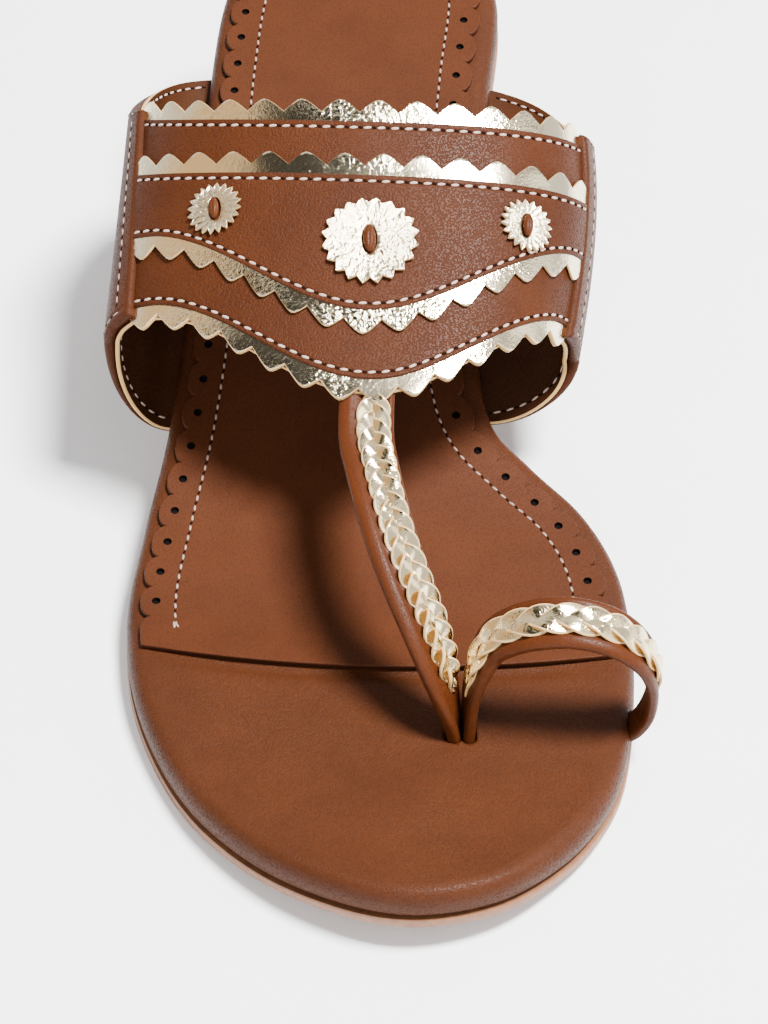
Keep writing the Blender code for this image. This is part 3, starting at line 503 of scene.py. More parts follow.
def sides(inset, end=None, count=220):
    """Lateral and medial points (x, place) at shared stations, closer together at the round ends."""
    curve = outline(inset)
    curve = np.roll(curve, -int(np.argmin(curve[:, 1])), axis=0)
    tip = int(np.argmax(curve[:, 1]))
    lateral, medial = curve[: tip + 1], np.vstack([curve[tip:], curve[:1]])[::-1]
    if end is None:
        spacing, high = (1 - np.cos(np.linspace(0, math.pi, count + 1))) / 2, curve[tip][1]
    else:
        spacing, high = 1 - np.cos(np.linspace(0, math.pi / 2, count + 1)), end
    places = curve[0][1] + spacing * (high - curve[0][1])
    found = []
    for side in (lateral, medial):
        found.append(np.stack([np.interp(places, np.maximum.accumulate(side[:, 1]), side[:, 0]), places], 1))
    return found


print("height of the ball and of the seat:", round(float(top_z(0.17)), 4), round(float(top_z(0.0)), 4))

# %% [markdown]
# Leather is cut flat and then drawn over a last. The pieces here are made the same way: a flat grid is
# added, and each of its points goes to its place on the shoe. Modelling by hand could not follow a fitted
# surface this closely. Doubled points are then merged, so seams and poles are closed, and the faces are
# turned outwards.

# %% Wrap a grid
MERGE_DISTANCE = 2e-6


def wrap(name, points, finish, marks=None, sharp=35):
    """A primitive grid whose points are moved to the given places (columns, rows, 3)."""
    columns, rows = points.shape[0] - 1, points.shape[1] - 1
    deselect()
    bpy.ops.mesh.primitive_grid_add(x_subdivisions=columns, y_subdivisions=rows, size=1.0, location=(0, 0, 0))
    piece = bpy.context.object
    piece.name = piece.data.name = name
    flat = points_of(piece)
    u = np.rint((flat[:, 0] + 0.5) * columns).astype(int)
    v = np.rint((flat[:, 1] + 0.5) * rows).astype(int)
    place_points(piece, points[u, v])
    for label, values in (marks or {}).items():
        mark_points(piece, label, values[u, v])
    turn_outwards(piece, MERGE_DISTANCE)
    bpy.ops.object.shade_smooth_by_angle(angle=math.radians(sharp))
    piece.data.materials.append(finish)
    return piece


def open_edges(piece):
    """How many edges of a piece don't join exactly two faces; a closed piece has none."""
    used = np.zeros(len(piece.data.loops), np.int32)
    piece.data.loops.foreach_get("edge_index", used)
    return int((np.bincount(used, minlength=len(piece.data.edges)) != 2).sum())


def dress(piece, slot, *nodes):
    """The piece rides on the shoe and stands for its solids. The slot is not used."""
    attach(piece, "root")
    if nodes:
        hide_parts(*nodes)
    print(piece.name, "faces:", len(piece.data.polygons), "open edges:", open_edges(piece))
    return piece


# %% [markdown]
# Outsole, padded footbed and heel are closed layers with the same plan. Each station of a layer is one
# ring that runs up the lateral edge, over the top, down the medial edge and back underneath. At the heel
# and the toe the rings shrink to an upright line, which merging closes.

# %% Layers of the sole
def join_levels(levels, across):
    """Rings (stations, round the section, 3) from each level's lateral and medial line."""
    share = np.linspace(0, 1, across + 1)[:, None, None]
    (low_a, low_b), (high_a, high_b) = levels[0], levels[-1]
    ring = [pair[0] for pair in levels] + list((high_a + (high_b - high_a) * share)[1:-1])
    ring += [pair[1] for pair in levels[::-1]] + list((low_b + (low_a - low_b) * share)[1:])
    return np.stack(ring, 1)


def layer_rings(levels, across, end=None, count=220):
    """Rings of a layer whose levels are given by their inset and their height."""
    found = []
    for inset, height_at in levels:
        pair = sides(inset, end, count)
        found.append([world(side[:, 0], side[:, 1], height_at(side[:, 1])) for side in pair])
    return join_levels(found, across)


chamfer = 0.2 * OUTSOLE_THICK
outsole_levels = []
for inset, lift in ((0.9, 0.0), (0.3, 0.1), (0.0, 0.5), (0.0, 3.4), (0.2, 4.5), (0.6, 5.0)):
    outsole_levels.append((
        inset * chamfer - OUTSOLE_REACH,
        lambda place, lift=lift: under_z(place) + lift * chamfer,
    ))
outsole = wrap("outsole_board", layer_rings(outsole_levels, 10), resin_board)
dress(outsole, "outsole_resin", "outsole")

# %% [markdown]
# The footbed is foam wrapped in leather, so its edge is a soft round. In front of the sock lining the
# leather dips in a shallow groove, where the sock is pressed down. A cushion could be simulated, but the
# foam is thin and firm, so the groove is set by formula.

# %% Footbed
SOCK_FRONT_LATERAL = 0.1730
SOCK_FRONT_MEDIAL = 0.1765
SOCK_FRONT_BULGE = 0.0040
GROOVE_DEPTH = 0.00055
GROOVE_WIDTH = 0.0016
GROOVE_AHEAD = 0.0012


def sock_front(share):
    """Station of the sock lining's front edge, from the lateral side (0) to the medial one (1)."""
    straight = SOCK_FRONT_LATERAL + (SOCK_FRONT_MEDIAL - SOCK_FRONT_LATERAL) * share
    return straight + SOCK_FRONT_BULGE * (1 - (2 * share - 1) ** 2)


edge_round = through(FOOTBED_EDGE, 16)
footbed_levels = []
for inset, lift in edge_round:
    footbed_levels.append((
        inset * FOOTBED_THICK,
        lambda place, lift=lift: under_z(place) + OUTSOLE_THICK + GAP + lift * FOOTBED_THICK,
    ))
CAP = 46
footbed_rings = layer_rings(footbed_levels, CAP, count=300)
first_cap = len(edge_round) - 1
for j in range(CAP + 1):
    column = footbed_rings[:, first_cap + j]
    share = j / CAP
    ahead = (HEEL_CENTRE - column[:, 1]) - sock_front(share) - GROOVE_AHEAD
    inside = min(1.0, 6 * share, 6 * (1 - share))
    column[:, 2] -= inside * GROOVE_DEPTH * np.exp(-(ahead / GROOVE_WIDTH) ** 2)
footbed = wrap("footbed_wrap", footbed_rings, footbed_leather, sharp=60)

# %% [markdown]
# The block heel is stacked board under the same leather, and the last millimetres are a rubber top lift.
# Both are D-shaped in plan, with a flat breast that leans in towards the floor. The breast is closed by
# rings that shrink to its middle.

# %% Heel
HEEL_TIP_THICK = 0.0050
HEEL_BREAST = 0.0520
HEEL_BREAST_RAKE = 0.0060
HEEL_TOP_INSET = 0.0012
HEEL_BASE_INSET = 0.0056
BREAST_BULGE = 0.00025


def close_breast(rings, steps=8):
    """The rings of a D-shaped block with its flat front closed in towards the middle."""
    last = rings[-1]
    middle = (last.min(0) + last.max(0)) / 2
    closing = []
    for share in np.arange(1, steps + 1) / steps:
        bulge = np.array([0.0, -BREAST_BULGE * math.sin(math.pi / 2 * share), 0.0])
        closing.append(last + (middle - last) * share + bulge)
    return np.concatenate([rings, np.array(closing)])


heel_base = HEEL_TIP_THICK + GAP
heel_levels = []
for share in np.linspace(0, 1, 25):
    inset = HEEL_BASE_INSET + (HEEL_TOP_INSET - HEEL_BASE_INSET) * share ** 0.7
    heel_levels.append((share, inset, HEEL_BREAST - HEEL_BREAST_RAKE * (1 - share)))


def heel_rings(levels, across, count=70):
    """Rings of the heel, whose levels end at their own breast lines."""
    found = []
    for share, inset, breast in levels:
        pair = sides(inset, breast, count)
        heights = [heel_base + share * (under_z(side[:, 1]) - GAP - heel_base) for side in pair]
        found.append([world(side[:, 0], side[:, 1], z) for side, z in zip(pair, heights)])
    return join_levels(found, across)


heel_wrap = wrap("heel_wrap", close_breast(heel_rings(heel_levels, 12)), heel_leather, sharp=50)
tip_levels = []
for inset, z in ((0.0005, 0.0), (0.0001, 0.0003), (0.0, 0.0008), (0.0, 0.0046), (0.0003, HEEL_TIP_THICK)):
    tip_levels.append((HEEL_BASE_INSET + inset, lambda place, z=z: z + 0 * place))
tip_end = HEEL_BREAST - HEEL_BREAST_RAKE
heel_lift = wrap("heel_top_lift", close_breast(layer_rings(tip_levels, 10, tip_end, 60)), heel_rubber, sharp=50)
dress(heel_wrap, "brown_leather", "heel_block")
dress(heel_lift, "heel_rubber", "heel_tip")

# %% [markdown]
# A cut piece of leather is a slab: a face, a flesh side and a rounded cut edge between them. Solidify
# would give a square edge and no marks on it, so the slab's section is built as one ring for each column,
# and the same function serves the band, the quarters, the gold strips and the rosettes.

# %% Slab of leather
ROUND_STEPS = 7


def run_table(points, axis):
    """The length run along one axis of a table of points."""
    steps = np.cumsum(np.linalg.norm(np.diff(points, axis=axis), axis=2), axis=axis)
    return np.concatenate([np.zeros_like(steps.take([0], axis)), steps], axis)


def slab_arrays(face, normal, thick, rounding=0.5, closed=False):
    """Points and marks of a slab: face points (columns, rows, 3), outward normals and thickness."""
    half = np.broadcast_to(thick, face.shape[:2])[..., None] / 2
    middle = face - normal * half
    turn = np.radians(np.linspace(90, -90, ROUND_STEPS))
    rings = []

    def add(points, mid, rim, under, distance):
        same = np.ones(points.shape[0])
        rings.append((points, mid, same * float(rim), same * float(under), distance))

    inner = run_table(face, 1)
    inner = np.minimum(inner, inner[:, -1:] - inner)
    if not closed:
        length = run_table(face, 0)
        inner = np.minimum(inner, np.minimum(length, length[-1:] - length))
    last = face.shape[1] - 1
    for v in range(1, last):
        add(face[:, v], middle[:, v], 0, 0, inner[:, v])
    for v, towards, order in ((last, last - 1, 1), (0, 1, -1)):
        inwards = unit(face[:, towards] - face[:, v])
        radius = half[:, v] * rounding
        for k, angle in list(enumerate(turn))[::order]:
            retreat = inwards * radius * (1 - math.cos(angle))
            point = face[:, v] - normal[:, v] * half[:, v] * (1 - math.sin(angle)) + retreat
            is_rim, is_under = 0 < k < ROUND_STEPS - 1, k == ROUND_STEPS - 1
            add(point, middle[:, v] + retreat, is_rim, is_under, np.zeros(face.shape[0]))
        if v == last:
            for w in range(last - 1, 0, -1):
                add(middle[:, w] * 2 - face[:, w], middle[:, w], 0, 1, inner[:, w])
    add(rings[0][0], rings[0][1], 0, 0, rings[0][4])
    points, mid, rim, under, edge = (np.stack(column, 1) for column in zip(*rings))
    if not closed:
        points, mid, rim, under, edge = close_ends(points, mid, rim, under, edge, rounding)
    return points, {"rim": rim, "under": under, "edge_mm": edge * 1000}


def close_ends(points, mid, rim, under, edge, rounding):
    """Extra rings that round off both ends of a slab and meet in its middle surface."""
    angles = np.radians([30, 60, 80, 90])
    for end, towards in ((0, 1), (-1, -2)):
        outwards = unit(mid[end] - mid[towards])
        spread = points[end] - mid[end]
        reach = rounding * np.linalg.norm(spread, axis=1).max()
        rows = np.array([mid[end] + spread * math.cos(a) + outwards * reach * math.sin(a) for a in angles])
        same = np.zeros((len(angles), points.shape[1]))
        extra = (rows, rows, same + 1, same + under[end], same)
        joined = []
        for old, new in zip((points, mid, rim, under, edge), extra):
            joined.append(np.concatenate([new[::-1], old] if end == 0 else [old, new]))
        points, mid, rim, under, edge = joined
    return points, mid, rim, under, edge


def slab(name, face, normal, thick, finish, rounding=0.5, closed=False, sharp=50):
    points, marks = slab_arrays(face, normal, thick, rounding, closed)
    return wrap(name, points, finish, marks, sharp)


# %% [markdown]
# The sock lining is the scalloped leather on top of the footbed. Each lobe is a half circle and the
# notches between them are sharp, as a scallop punch leaves them. Each lobe but the front one on each side
# has one punched hole, and a row of stitches runs inside the holes.

# %% Sock lining shape
SOCK_THICK = 0.0008
SOCK_INSET_LATERAL = 0.0024
SOCK_INSET_MEDIAL = 0.0034
SOCK_LOBES = 27
SCALLOP_DEPTH = 0.0019
LOBE_STEPS = 12
SOCK_TOP = GAP + SOCK_THICK
SLOPE_STEP = 4e-4


SOCK_SIDES = ((-1, SOCK_INSET_LATERAL, SOCK_FRONT_LATERAL), (1, SOCK_INSET_MEDIAL, SOCK_FRONT_MEDIAL))


def sock_edge(side, inset, front):
    """Dense points (x, place) of a sock side before scalloping, and their run from the front corner."""
    curve = sides(inset, count=400)[0 if side < 0 else 1]
    corner = np.array([np.interp(front, curve[:, 1], curve[:, 0]), front])
    curve = np.vstack([corner, curve[curve[:, 1] < front][::-1]])
    return curve, run_along(curve)


def sock_row(side, inset, front, phases, inboard, scalloped=False):
    """Points (x, place) beside a sock edge at lobe phases, moved inboard."""
    curve, run = sock_edge(side, inset, front)
    at = np.clip(phases / SOCK_LOBES * run[-1], 0, run[-1])
    ahead = read_line(curve, run, np.minimum(at + SLOPE_STEP, run[-1]))
    along = unit(ahead - read_line(curve, run, np.maximum(at - SLOPE_STEP, 0)))
    inwards = np.stack([along[:, 1], -along[:, 0]], 1) * side
    depth = np.full(len(at), inboard)
    if scalloped:
        notch = 1 - np.sqrt(np.maximum(0, 1 - (2 * (phases % 1.0) - 1) ** 2))
        notch[phases < 0.5] = 0.0
        depth = depth + SCALLOP_DEPTH * notch
    return read_line(curve, run, at) + inwards * depth[:, None]


lobe_phase = (1 - np.cos(np.linspace(0, math.pi, LOBE_STEPS + 1)[:-1])) / 2
phases = np.concatenate([k + lobe_phase for k in range(SOCK_LOBES)])
phases = phases[phases < SOCK_LOBES - 0.14]
lateral, medial = (sock_row(*sock_side, phases, 0.0, True) for sock_side in SOCK_SIDES)
share = np.linspace(1, 0, 42)[1:-1, None]
front_edge = lateral[:1] * (1 - share) + medial[:1] * share
front_edge[:, 1] += SOCK_FRONT_BULGE * (1 - (2 * share[:, 0] - 1) ** 2)
sock_outline = np.vstack([lateral, medial[::-1], front_edge])
print("points round the sock lining:", len(sock_outline))

# %% [markdown]
# The real lining is cut and punched flat, and takes the bend of the footbed when it is glued down. Cutting
# holes in a bent sheet is delicate work for a Boolean, so this one is made in the same order: a circle
# goes to the outline, is extruded to the thickness of the leather, rounded by small insets and bisected
# across into narrow strips, which will let it bend. It is then punched while it is still flat.

# %% Sock lining cut flat
SOCK_STRIP = 0.0023
SOCK_ROUND = ((0.00007, 0.00012), (0.00010, 0.00006))

deselect()
bpy.ops.mesh.primitive_circle_add(vertices=len(sock_outline), radius=1.0, fill_type="NGON", location=(0, 0, 0))
sock = bpy.context.object
sock.name = sock.data.name = "sock_lining"
place_points(sock, np.concatenate([sock_outline, 0 * sock_outline[:, :1]], 1))
sock.data.materials.append(sock_leather)
bpy.ops.object.mode_set(mode="EDIT")
bpy.ops.mesh.select_all(action="SELECT")
straight = SOCK_THICK - sum(rise for _, rise in SOCK_ROUND)
bpy.ops.mesh.extrude_region_move(TRANSFORM_OT_translate={"value": (0.0, 0.0, straight)})
for inset, rise in SOCK_ROUND:
    bpy.ops.mesh.inset(thickness=inset, depth=0.0, use_even_offset=False)
    bpy.ops.transform.translate(value=(0.0, 0.0, rise))
for station in np.arange(sock_outline[:, 1].min(), sock_outline[:, 1].max(), SOCK_STRIP)[1:]:
    bpy.ops.mesh.select_all(action="SELECT")
    bpy.ops.mesh.bisect(plane_co=(0.0, float(station), 0.0), plane_no=(0.0, 1.0, 0.0))
bpy.ops.object.mode_set(mode="OBJECT")
turn_outwards(sock)
print("flat sock lining:", len(sock.data.polygons), "faces, open edges:", open_edges(sock))

# %% [markdown]
# The instep band is a saddle-like surface. Its ribs run from the sole over the foot and down again, and
# the table gives the crown, the widest place and the tuck of three ribs. The surface is worked out once
# on a fine net and then read smoothly between its knots, which is quick and leaves no facets.

# %% Ribs of the band
WALL_INSIDE = 0.0030
LINING_FACE = 0.0023
VAMP_FACE = 0.0012
LASTING_INSIDE = 0.0014
LASTING_MARGIN = 0.0055
RIB_COLUMNS = (
    "place", "crown_at", "crown_z", "lateral_at", "lateral_z", "lateral_x", "lateral_tuck",
    "medial_at", "medial_z", "medial_x", "medial_tuck",
)
RIBS = (
    (0.0, 0.0966, 0.0686, 0.0721, 0.0491, 0.0433, 0.0455, 0.0722, 0.0444, 0.0428, 0.0485),
    (0.5, 0.1142, 0.0585, 0.0983, 0.0413, 0.0449, 0.0898, 0.0924, 0.0330, 0.0431, 0.0898),
    (1.0, 0.1410, 0.0458, 0.1322, 0.0299, 0.0474, 0.1330, 0.1247, 0.0211, 0.0373, 0.1330),
)
CROWN_X = 0.0029
LATERAL_SQUARE = 2.02
MEDIAL_SQUARE = 2.70
WIDE_SHARE = 0.74
EDGE_SHARE = 0.94
SEAM_LATERAL = 0.620
SEAM_MEDIAL = 0.540
HOLD_LATERAL = 0.620
HOLD_MEDIAL = 0.740
EDGE_SIDES = sides(0.0, count=300)


def rib_values(place):
    """The rib table's values at a place, on the parabola through its three rows."""
    (p0, *y0), (p1, *y1), (p2, *y2) = RIBS
    w0 = (place - p1) * (place - p2) / ((p0 - p1) * (p0 - p2))
    w1 = (place - p0) * (place - p2) / ((p1 - p0) * (p1 - p2))
    w2 = (place - p0) * (place - p1) / ((p2 - p0) * (p2 - p1))
    return dict(zip(RIB_COLUMNS[1:], w0 * np.array(y0) + w1 * np.array(y1) + w2 * np.array(y2)))


def share_out(points, shares):
    """Points of a line at shares of its length."""
    run = run_along(points)
    return read_line(points, run, shares * run[-1])


def rib_side(side, place, shares):
    """Points (x, station, z) of one half of a rib, from the crown (0) to the lasting margin's end (1)."""
    name = "lateral" if side < 0 else "medial"
    rib = rib_values(place)
    turn = np.linspace(math.pi / 2, 0, 241)
    cos, sin = np.clip(np.cos(turn), 0, 1)[:, None], np.clip(np.sin(turn), 0, 1)[:, None]
    wide = np.array([side * rib[name + "_x"], rib[name + "_at"], rib[name + "_z"]])
    at = rib[name + "_tuck"]
    curve = EDGE_SIDES[0] if side < 0 else EDGE_SIDES[1]
    tuck = np.array([np.interp(at, curve[:, 1], curve[:, 0]), at, float(under_z(at)) + OUTSOLE_THICK + GAP])
    power = 2 / (LATERAL_SQUARE if side < 0 else MEDIAL_SQUARE)
    crown = np.array([CROWN_X, rib["crown_at"], rib["crown_z"]])
    base = np.array([CROWN_X, wide[1], wide[2]])
    over = base + cos ** power * (wide - base) + sin ** power * (crown - base)
    low = np.array([tuck[0], wide[1], wide[2]])
    below = low + sin * (wide - low) + cos * (tuck - low)
    upper_part = share_out(over, np.clip(shares / WIDE_SHARE, 0, 1))
    lower_part = share_out(below, np.clip((shares - WIDE_SHARE) / (EDGE_SHARE - WIDE_SHARE), 0, 1))
    inside = np.clip((shares - EDGE_SHARE) / (1 - EDGE_SHARE), 0, 2) * LASTING_MARGIN
    margin = tuck - inside[:, None] * np.array([side, 0.0, 0.0])
    found = np.where((shares <= WIDE_SHARE)[:, None], upper_part, lower_part)
    return np.where((shares > EDGE_SHARE)[:, None], margin, found)


# %% Net of the band
NET_GIRTHS = np.linspace(-1.06, 1.06, 425)
NET_PLACES = np.linspace(-0.24, 1.44, 85)
net = np.zeros((len(NET_GIRTHS), len(NET_PLACES), 3))
left_half = NET_GIRTHS < 0
for j, place in enumerate(NET_PLACES):
    net[left_half, j] = rib_side(-1, place, -NET_GIRTHS[left_half])
    net[~left_half, j] = rib_side(1, place, NET_GIRTHS[~left_half])
net = world(net[..., 0], net[..., 1], net[..., 2])
net_across, net_along = np.gradient(net, NET_GIRTHS, NET_PLACES, axis=(0, 1))
net_normal = unit(np.cross(net_along, net_across))
print("crown of the band at its rear edge:", net[212, 12].round(4), "normal", net_normal[212, 12].round(2))


def read_net(table, girth, place):
    """Smooth values of a net's table at any girths and places."""
    girth, place = np.broadcast_arrays(np.asarray(girth, float), np.asarray(place, float))
    a = np.clip((girth - NET_GIRTHS[0]) / (NET_GIRTHS[1] - NET_GIRTHS[0]), 1, len(NET_GIRTHS) - 3)
    b = np.clip((place - NET_PLACES[0]) / (NET_PLACES[1] - NET_PLACES[0]), 1, len(NET_PLACES) - 3)
    i, j = a.astype(int), b.astype(int)
    wa, wb = cubic_weights(a - i), cubic_weights(b - j)
    found = 0
    for m in range(4):
        for n in range(4):
            found = found + (wa[m] * wb[n])[..., None] * table[i + m - 1, j + n - 1]
    return found


def band(girth, place, lift=0.0):
    """Points of the band's surface moved outwards by a lift, and the outward normals there."""
    normal = unit(read_net(net_normal, girth, place))
    return read_net(net, girth, place) + normal * np.asarray(lift)[..., None], normal


# %% [markdown]
# Every edge on the band is a curve of places over the girth: a straight slope and, on the front ones, a
# point in the middle. A reach in metres moves an edge towards the toe, so the same four curves place the
# leather, its stitches and the gold teeth that show past it.

# %% Edges of the band
EDGES = {
    "vamp_rear": (0.096, 0.095, 0.0),
    "panel_rear": (0.365, 0.094, 0.0),
    "panel_front": (0.593, 0.063, 0.259),
    "vamp_front": (0.810, 0.057, 0.234),
}
POINT_WIDTH = 0.532
POINT_CENTRE = -0.030


def edge_place(name, girth, reach=0.0):
    at_crown, slope, point = EDGES[name]
    girth = np.asarray(girth, float)
    share = np.minimum(np.abs(girth - POINT_CENTRE) / POINT_WIDTH, 1.0)
    place = at_crown + slope * girth + point * (1 + np.cos(math.pi * share)) / 2
    stretch = np.linalg.norm(read_net(net_along, girth, place), axis=-1)
    return place + np.asarray(reach) / stretch


def edge_run(name, start, end, count=700):
    """Girths along an edge and the length run to each of them."""
    girths = np.linspace(start, end, count)
    return girths, run_along(band(girths, edge_place(name, girths))[0])


for name in EDGES:
    print(name, "runs", round(edge_run(name, -SEAM_LATERAL, SEAM_MEDIAL)[1][-1] * 1000, 1), "mm")

# %% [markdown]
# The vamp and the panel are cut pieces whose long edges are stitched about a millimetre in. The thread
# pulls the leather down and leaves a soft lip outside it. The rows are therefore set close together near
# both edges, and each row is lowered by its distance from the edge.

# %% Leather between two edges
STITCH_INSET = 0.00125
EDGE_ROWS = np.array((
    0.0, 0.00055, 0.0007, 0.0009, 0.00105, 0.0012, 0.00135, 0.0015, 0.0017, 0.0020, 0.0025, 0.0032,
))
LEATHER_THICK = 0.0009


def lip(distance, inset=STITCH_INSET, depth=0.00016, width=0.00030):
    """How far the face dips at a distance from a stitched edge."""
    return -depth * np.exp(-((distance - inset) / width) ** 2)


def banded(name, rear, front, lift, middle_rows):
    """A slab on the band between two named edges, with close rows at both."""
    girths, run = edge_run("panel_front", -SEAM_LATERAL - 0.02, SEAM_MEDIAL + 0.015)
    girths = np.interp(np.linspace(0, run[-1], 260), run, girths)
    rear_rows = np.stack([edge_place(rear, girths, d) for d in EDGE_ROWS], 1)
    front_rows = np.stack([edge_place(front, girths, -d) for d in EDGE_ROWS[::-1]], 1)
    share = np.linspace(0, 1, middle_rows + 2)[1:-1]
    middle = rear_rows[:, -1:] + (front_rows[:, :1] - rear_rows[:, -1:]) * share
    places = np.concatenate([rear_rows, middle, front_rows], 1)
    distance = np.concatenate([EDGE_ROWS, np.full(middle_rows, 1.0), EDGE_ROWS[::-1]])
    face, normal = band(np.broadcast_to(girths[:, None], places.shape), places, lift + lip(distance))
    return slab(name, face, normal, LEATHER_THICK, band_leather, 0.6)


PANEL_THICK = 0.0007
PANEL_LIFT = -VAMP_FACE + GAP + PANEL_THICK
vamp = banded("vamp", "vamp_rear", "vamp_front", -VAMP_FACE, 40)
panel = banded("centre_panel", "panel_rear", "panel_front", PANEL_LIFT, 26)
dress(panel, "brown_leather", "panel")

# %% [markdown]
# The lining carries the whole band on the inside and shows as a pale tan line round the opening. It
# comes nearer the face where it is lasted under the footbed, so the wall is thinner there. The two quarters
# are thicker folded leather over the sides, and their front edge is rounder than a cut one.

# %% Lining
LINING_REACH = 0.0021
QUARTER_FRONT_REACH = 0.0012
QUARTER_FLARE_LATERAL = 0.0042
QUARTER_FLARE_MEDIAL = -0.0014
FLARE_TURN = 1.8
LASTED_SHARE = EDGE_SHARE - 0.02


def inner_lift(girth):
    """Lift of the wall's inner face, which comes nearer where the wall is lasted."""
    share = np.clip((np.abs(girth) - WIDE_SHARE) / (LASTED_SHARE - WIDE_SHARE), 0, 1)
    return -WALL_INSIDE + (WALL_INSIDE - LASTING_INSIDE) * share


def wall_ends(girth):
    """Rear and front places of the wall at each girth."""
    hold = np.where(girth < 0, HOLD_LATERAL, HOLD_MEDIAL)
    held = np.clip(girth, -HOLD_LATERAL, HOLD_MEDIAL)
    past = np.clip((np.abs(girth) - hold) / (EDGE_SHARE - hold), 0, 1)
    flare = np.where(girth < 0, QUARTER_FLARE_LATERAL, QUARTER_FLARE_MEDIAL)
    turn = np.sin(math.pi / 2 * np.minimum(FLARE_TURN * past, 1.0))
    ease = np.clip(past * 6, 0, 1)
    front_reach = LINING_REACH + (QUARTER_FRONT_REACH - LINING_REACH) * ease + flare * turn
    rear = edge_place("vamp_rear", held, -LINING_REACH) * (1 - past)
    return rear, edge_place("vamp_front", held, front_reach)


QUARTER_ROWS = np.array((
    0.0, 0.0010, 0.0012, 0.0014, 0.0016, 0.0018, 0.0020, 0.0022, 0.0025, 0.0030, 0.0036,
))
WALL_ROWS = 44
QUARTER_STITCH = 0.0017


def wall_piece(name, girths, lift, under, finish, near, rounding=0.6, outset=0.0, dip=False):
    """A slab of the wall between its rear and front ends, from a lift down to another."""
    lift = np.broadcast_to(lift, girths.shape)
    rear, front = wall_ends(girths)
    stretch = np.linalg.norm(read_net(net_along, girths, (rear + front) / 2), axis=-1)[:, None]
    rear_rows = rear[:, None] + (near[None] - outset) / stretch
    front_rows = front[:, None] - (near[::-1][None] - outset) / stretch
    share = np.linspace(0, 1, WALL_ROWS + 2)[1:-1]
    middle = rear_rows[:, -1:] + (front_rows[:, :1] - rear_rows[:, -1:]) * share
    places = np.concatenate([rear_rows, middle, front_rows], 1)
    distance = np.concatenate([near, np.full(WALL_ROWS, 1.0), near[::-1]])
    lifts = lift[:, None] + (lip(distance, QUARTER_STITCH) if dip else 0 * distance)[None]
    face, normal = band(np.broadcast_to(girths[:, None], places.shape), places, lifts)
    return slab(name, face, normal, (lift - under)[:, None], finish, rounding)


LINING_THICK = 0.0008
LINING_OUTSET = 0.0002
lining_girths = np.concatenate([
    np.linspace(-0.995, -0.6, 90), np.linspace(-0.59, 0.7, 150), np.linspace(0.71, 0.995, 80),
])
lining_under = inner_lift(lining_girths)
lining = wall_piece(
    "band_lining", lining_girths, lining_under + LINING_THICK, lining_under, lining_leather, EDGE_ROWS,
    outset=LINING_OUTSET,
)

# %% Quarters
QUARTER_EDGE_STITCH = (0.0024, 0.0034)
QUARTER_GAP = 0.00005
for side, word, seam in ((-1, "lateral", SEAM_LATERAL), (1, "medial", SEAM_MEDIAL)):
    girths = side * np.linspace(seam, 0.995, 110)
    under = inner_lift(girths) + LINING_THICK + QUARTER_GAP
    quarter = wall_piece("quarter_" + word, girths, 0.0, under, quarter_leather, QUARTER_ROWS, 0.8, dip=True)
    dress(quarter, "brown_leather", "upper")

dress(vamp, "brown_leather", "upper")
dress(lining, "brown_leather", "upper")

# %% [markdown]
# The gold strips lie under the vamp and the panel and show past them with pinked teeth: round tips and
# sharp notches, as pinking shears leave them. A row of scaled copies would not follow the point of the
# vamp, so the strip's far edge is one curve whose reach depends on the phase of the tooth.

# %% Gold strips
GOLD_THICK = 0.00045
GOLD_REACH = 0.0044
PINK_PITCH = 0.0069
PINK_DEPTH = 0.0026
PINK_ROUND = 0.30
TOOTH_STEPS = 16
GOLD_LOW = -LINING_FACE + GAP + GOLD_THICK
GOLD_HIGH = -VAMP_FACE + GAP + GOLD_THICK
GOLD_UNDERLAP = 0.0012
WRINKLE_WAVES = 5


def wrinkle(points, size, height, seed):
    """A slow waving of a thin sheet, from a few crossed waves, so that it gives the same each run."""
    rng = np.random.default_rng(seed)
    found = np.zeros(points.shape[:-1])
    for _ in range(WRINKLE_WAVES):
        way = unit(rng.normal(size=3)) / size * rng.uniform(0.6, 1.6)
        found += np.sin(points @ way * 2 * math.pi + rng.uniform(0, 6.28))
    return height * found / WRINKLE_WAVES


def gold_strip(name, edge, reach, lift, thick, seed):
    """A strip that starts under a named edge and reaches past it with teeth."""
    girths, run = edge_run(edge, -SEAM_LATERAL - 0.008, SEAM_MEDIAL + 0.006)
    teeth = round(run[-1] / PINK_PITCH)
    steps = (1 - np.cos(np.linspace(0, math.pi, TOOTH_STEPS + 1)[:-1])) / 2
    phase = np.concatenate([k + steps for k in range(teeth)] + [[teeth]])
    girth = np.interp(phase / teeth * run[-1], run, girths)
    way = math.copysign(1.0, reach)
    from_tip = np.abs(2 * (phase % 1.0) - 1)
    cut_back = (np.hypot(from_tip, PINK_ROUND) - PINK_ROUND) / (math.hypot(1.0, PINK_ROUND) - PINK_ROUND)
    tip = reach - way * PINK_DEPTH * cut_back
    share = np.linspace(0, 1, 11)
    reaches = -way * GOLD_UNDERLAP + (tip + way * GOLD_UNDERLAP)[:, None] * share
    places = np.stack([edge_place(edge, girth, reaches[:, k]) for k in range(len(share))], 1)
    girth = np.broadcast_to(girth[:, None], places.shape)
    flat = band(girth, places, 0.0)[0]
    curl = wrinkle(flat, 0.011, 0.00016, seed) * share[None]
    face, normal = band(girth, places, lift + curl)
    return slab(name, face, normal, thick, gold_foil, 0.35, sharp=40)


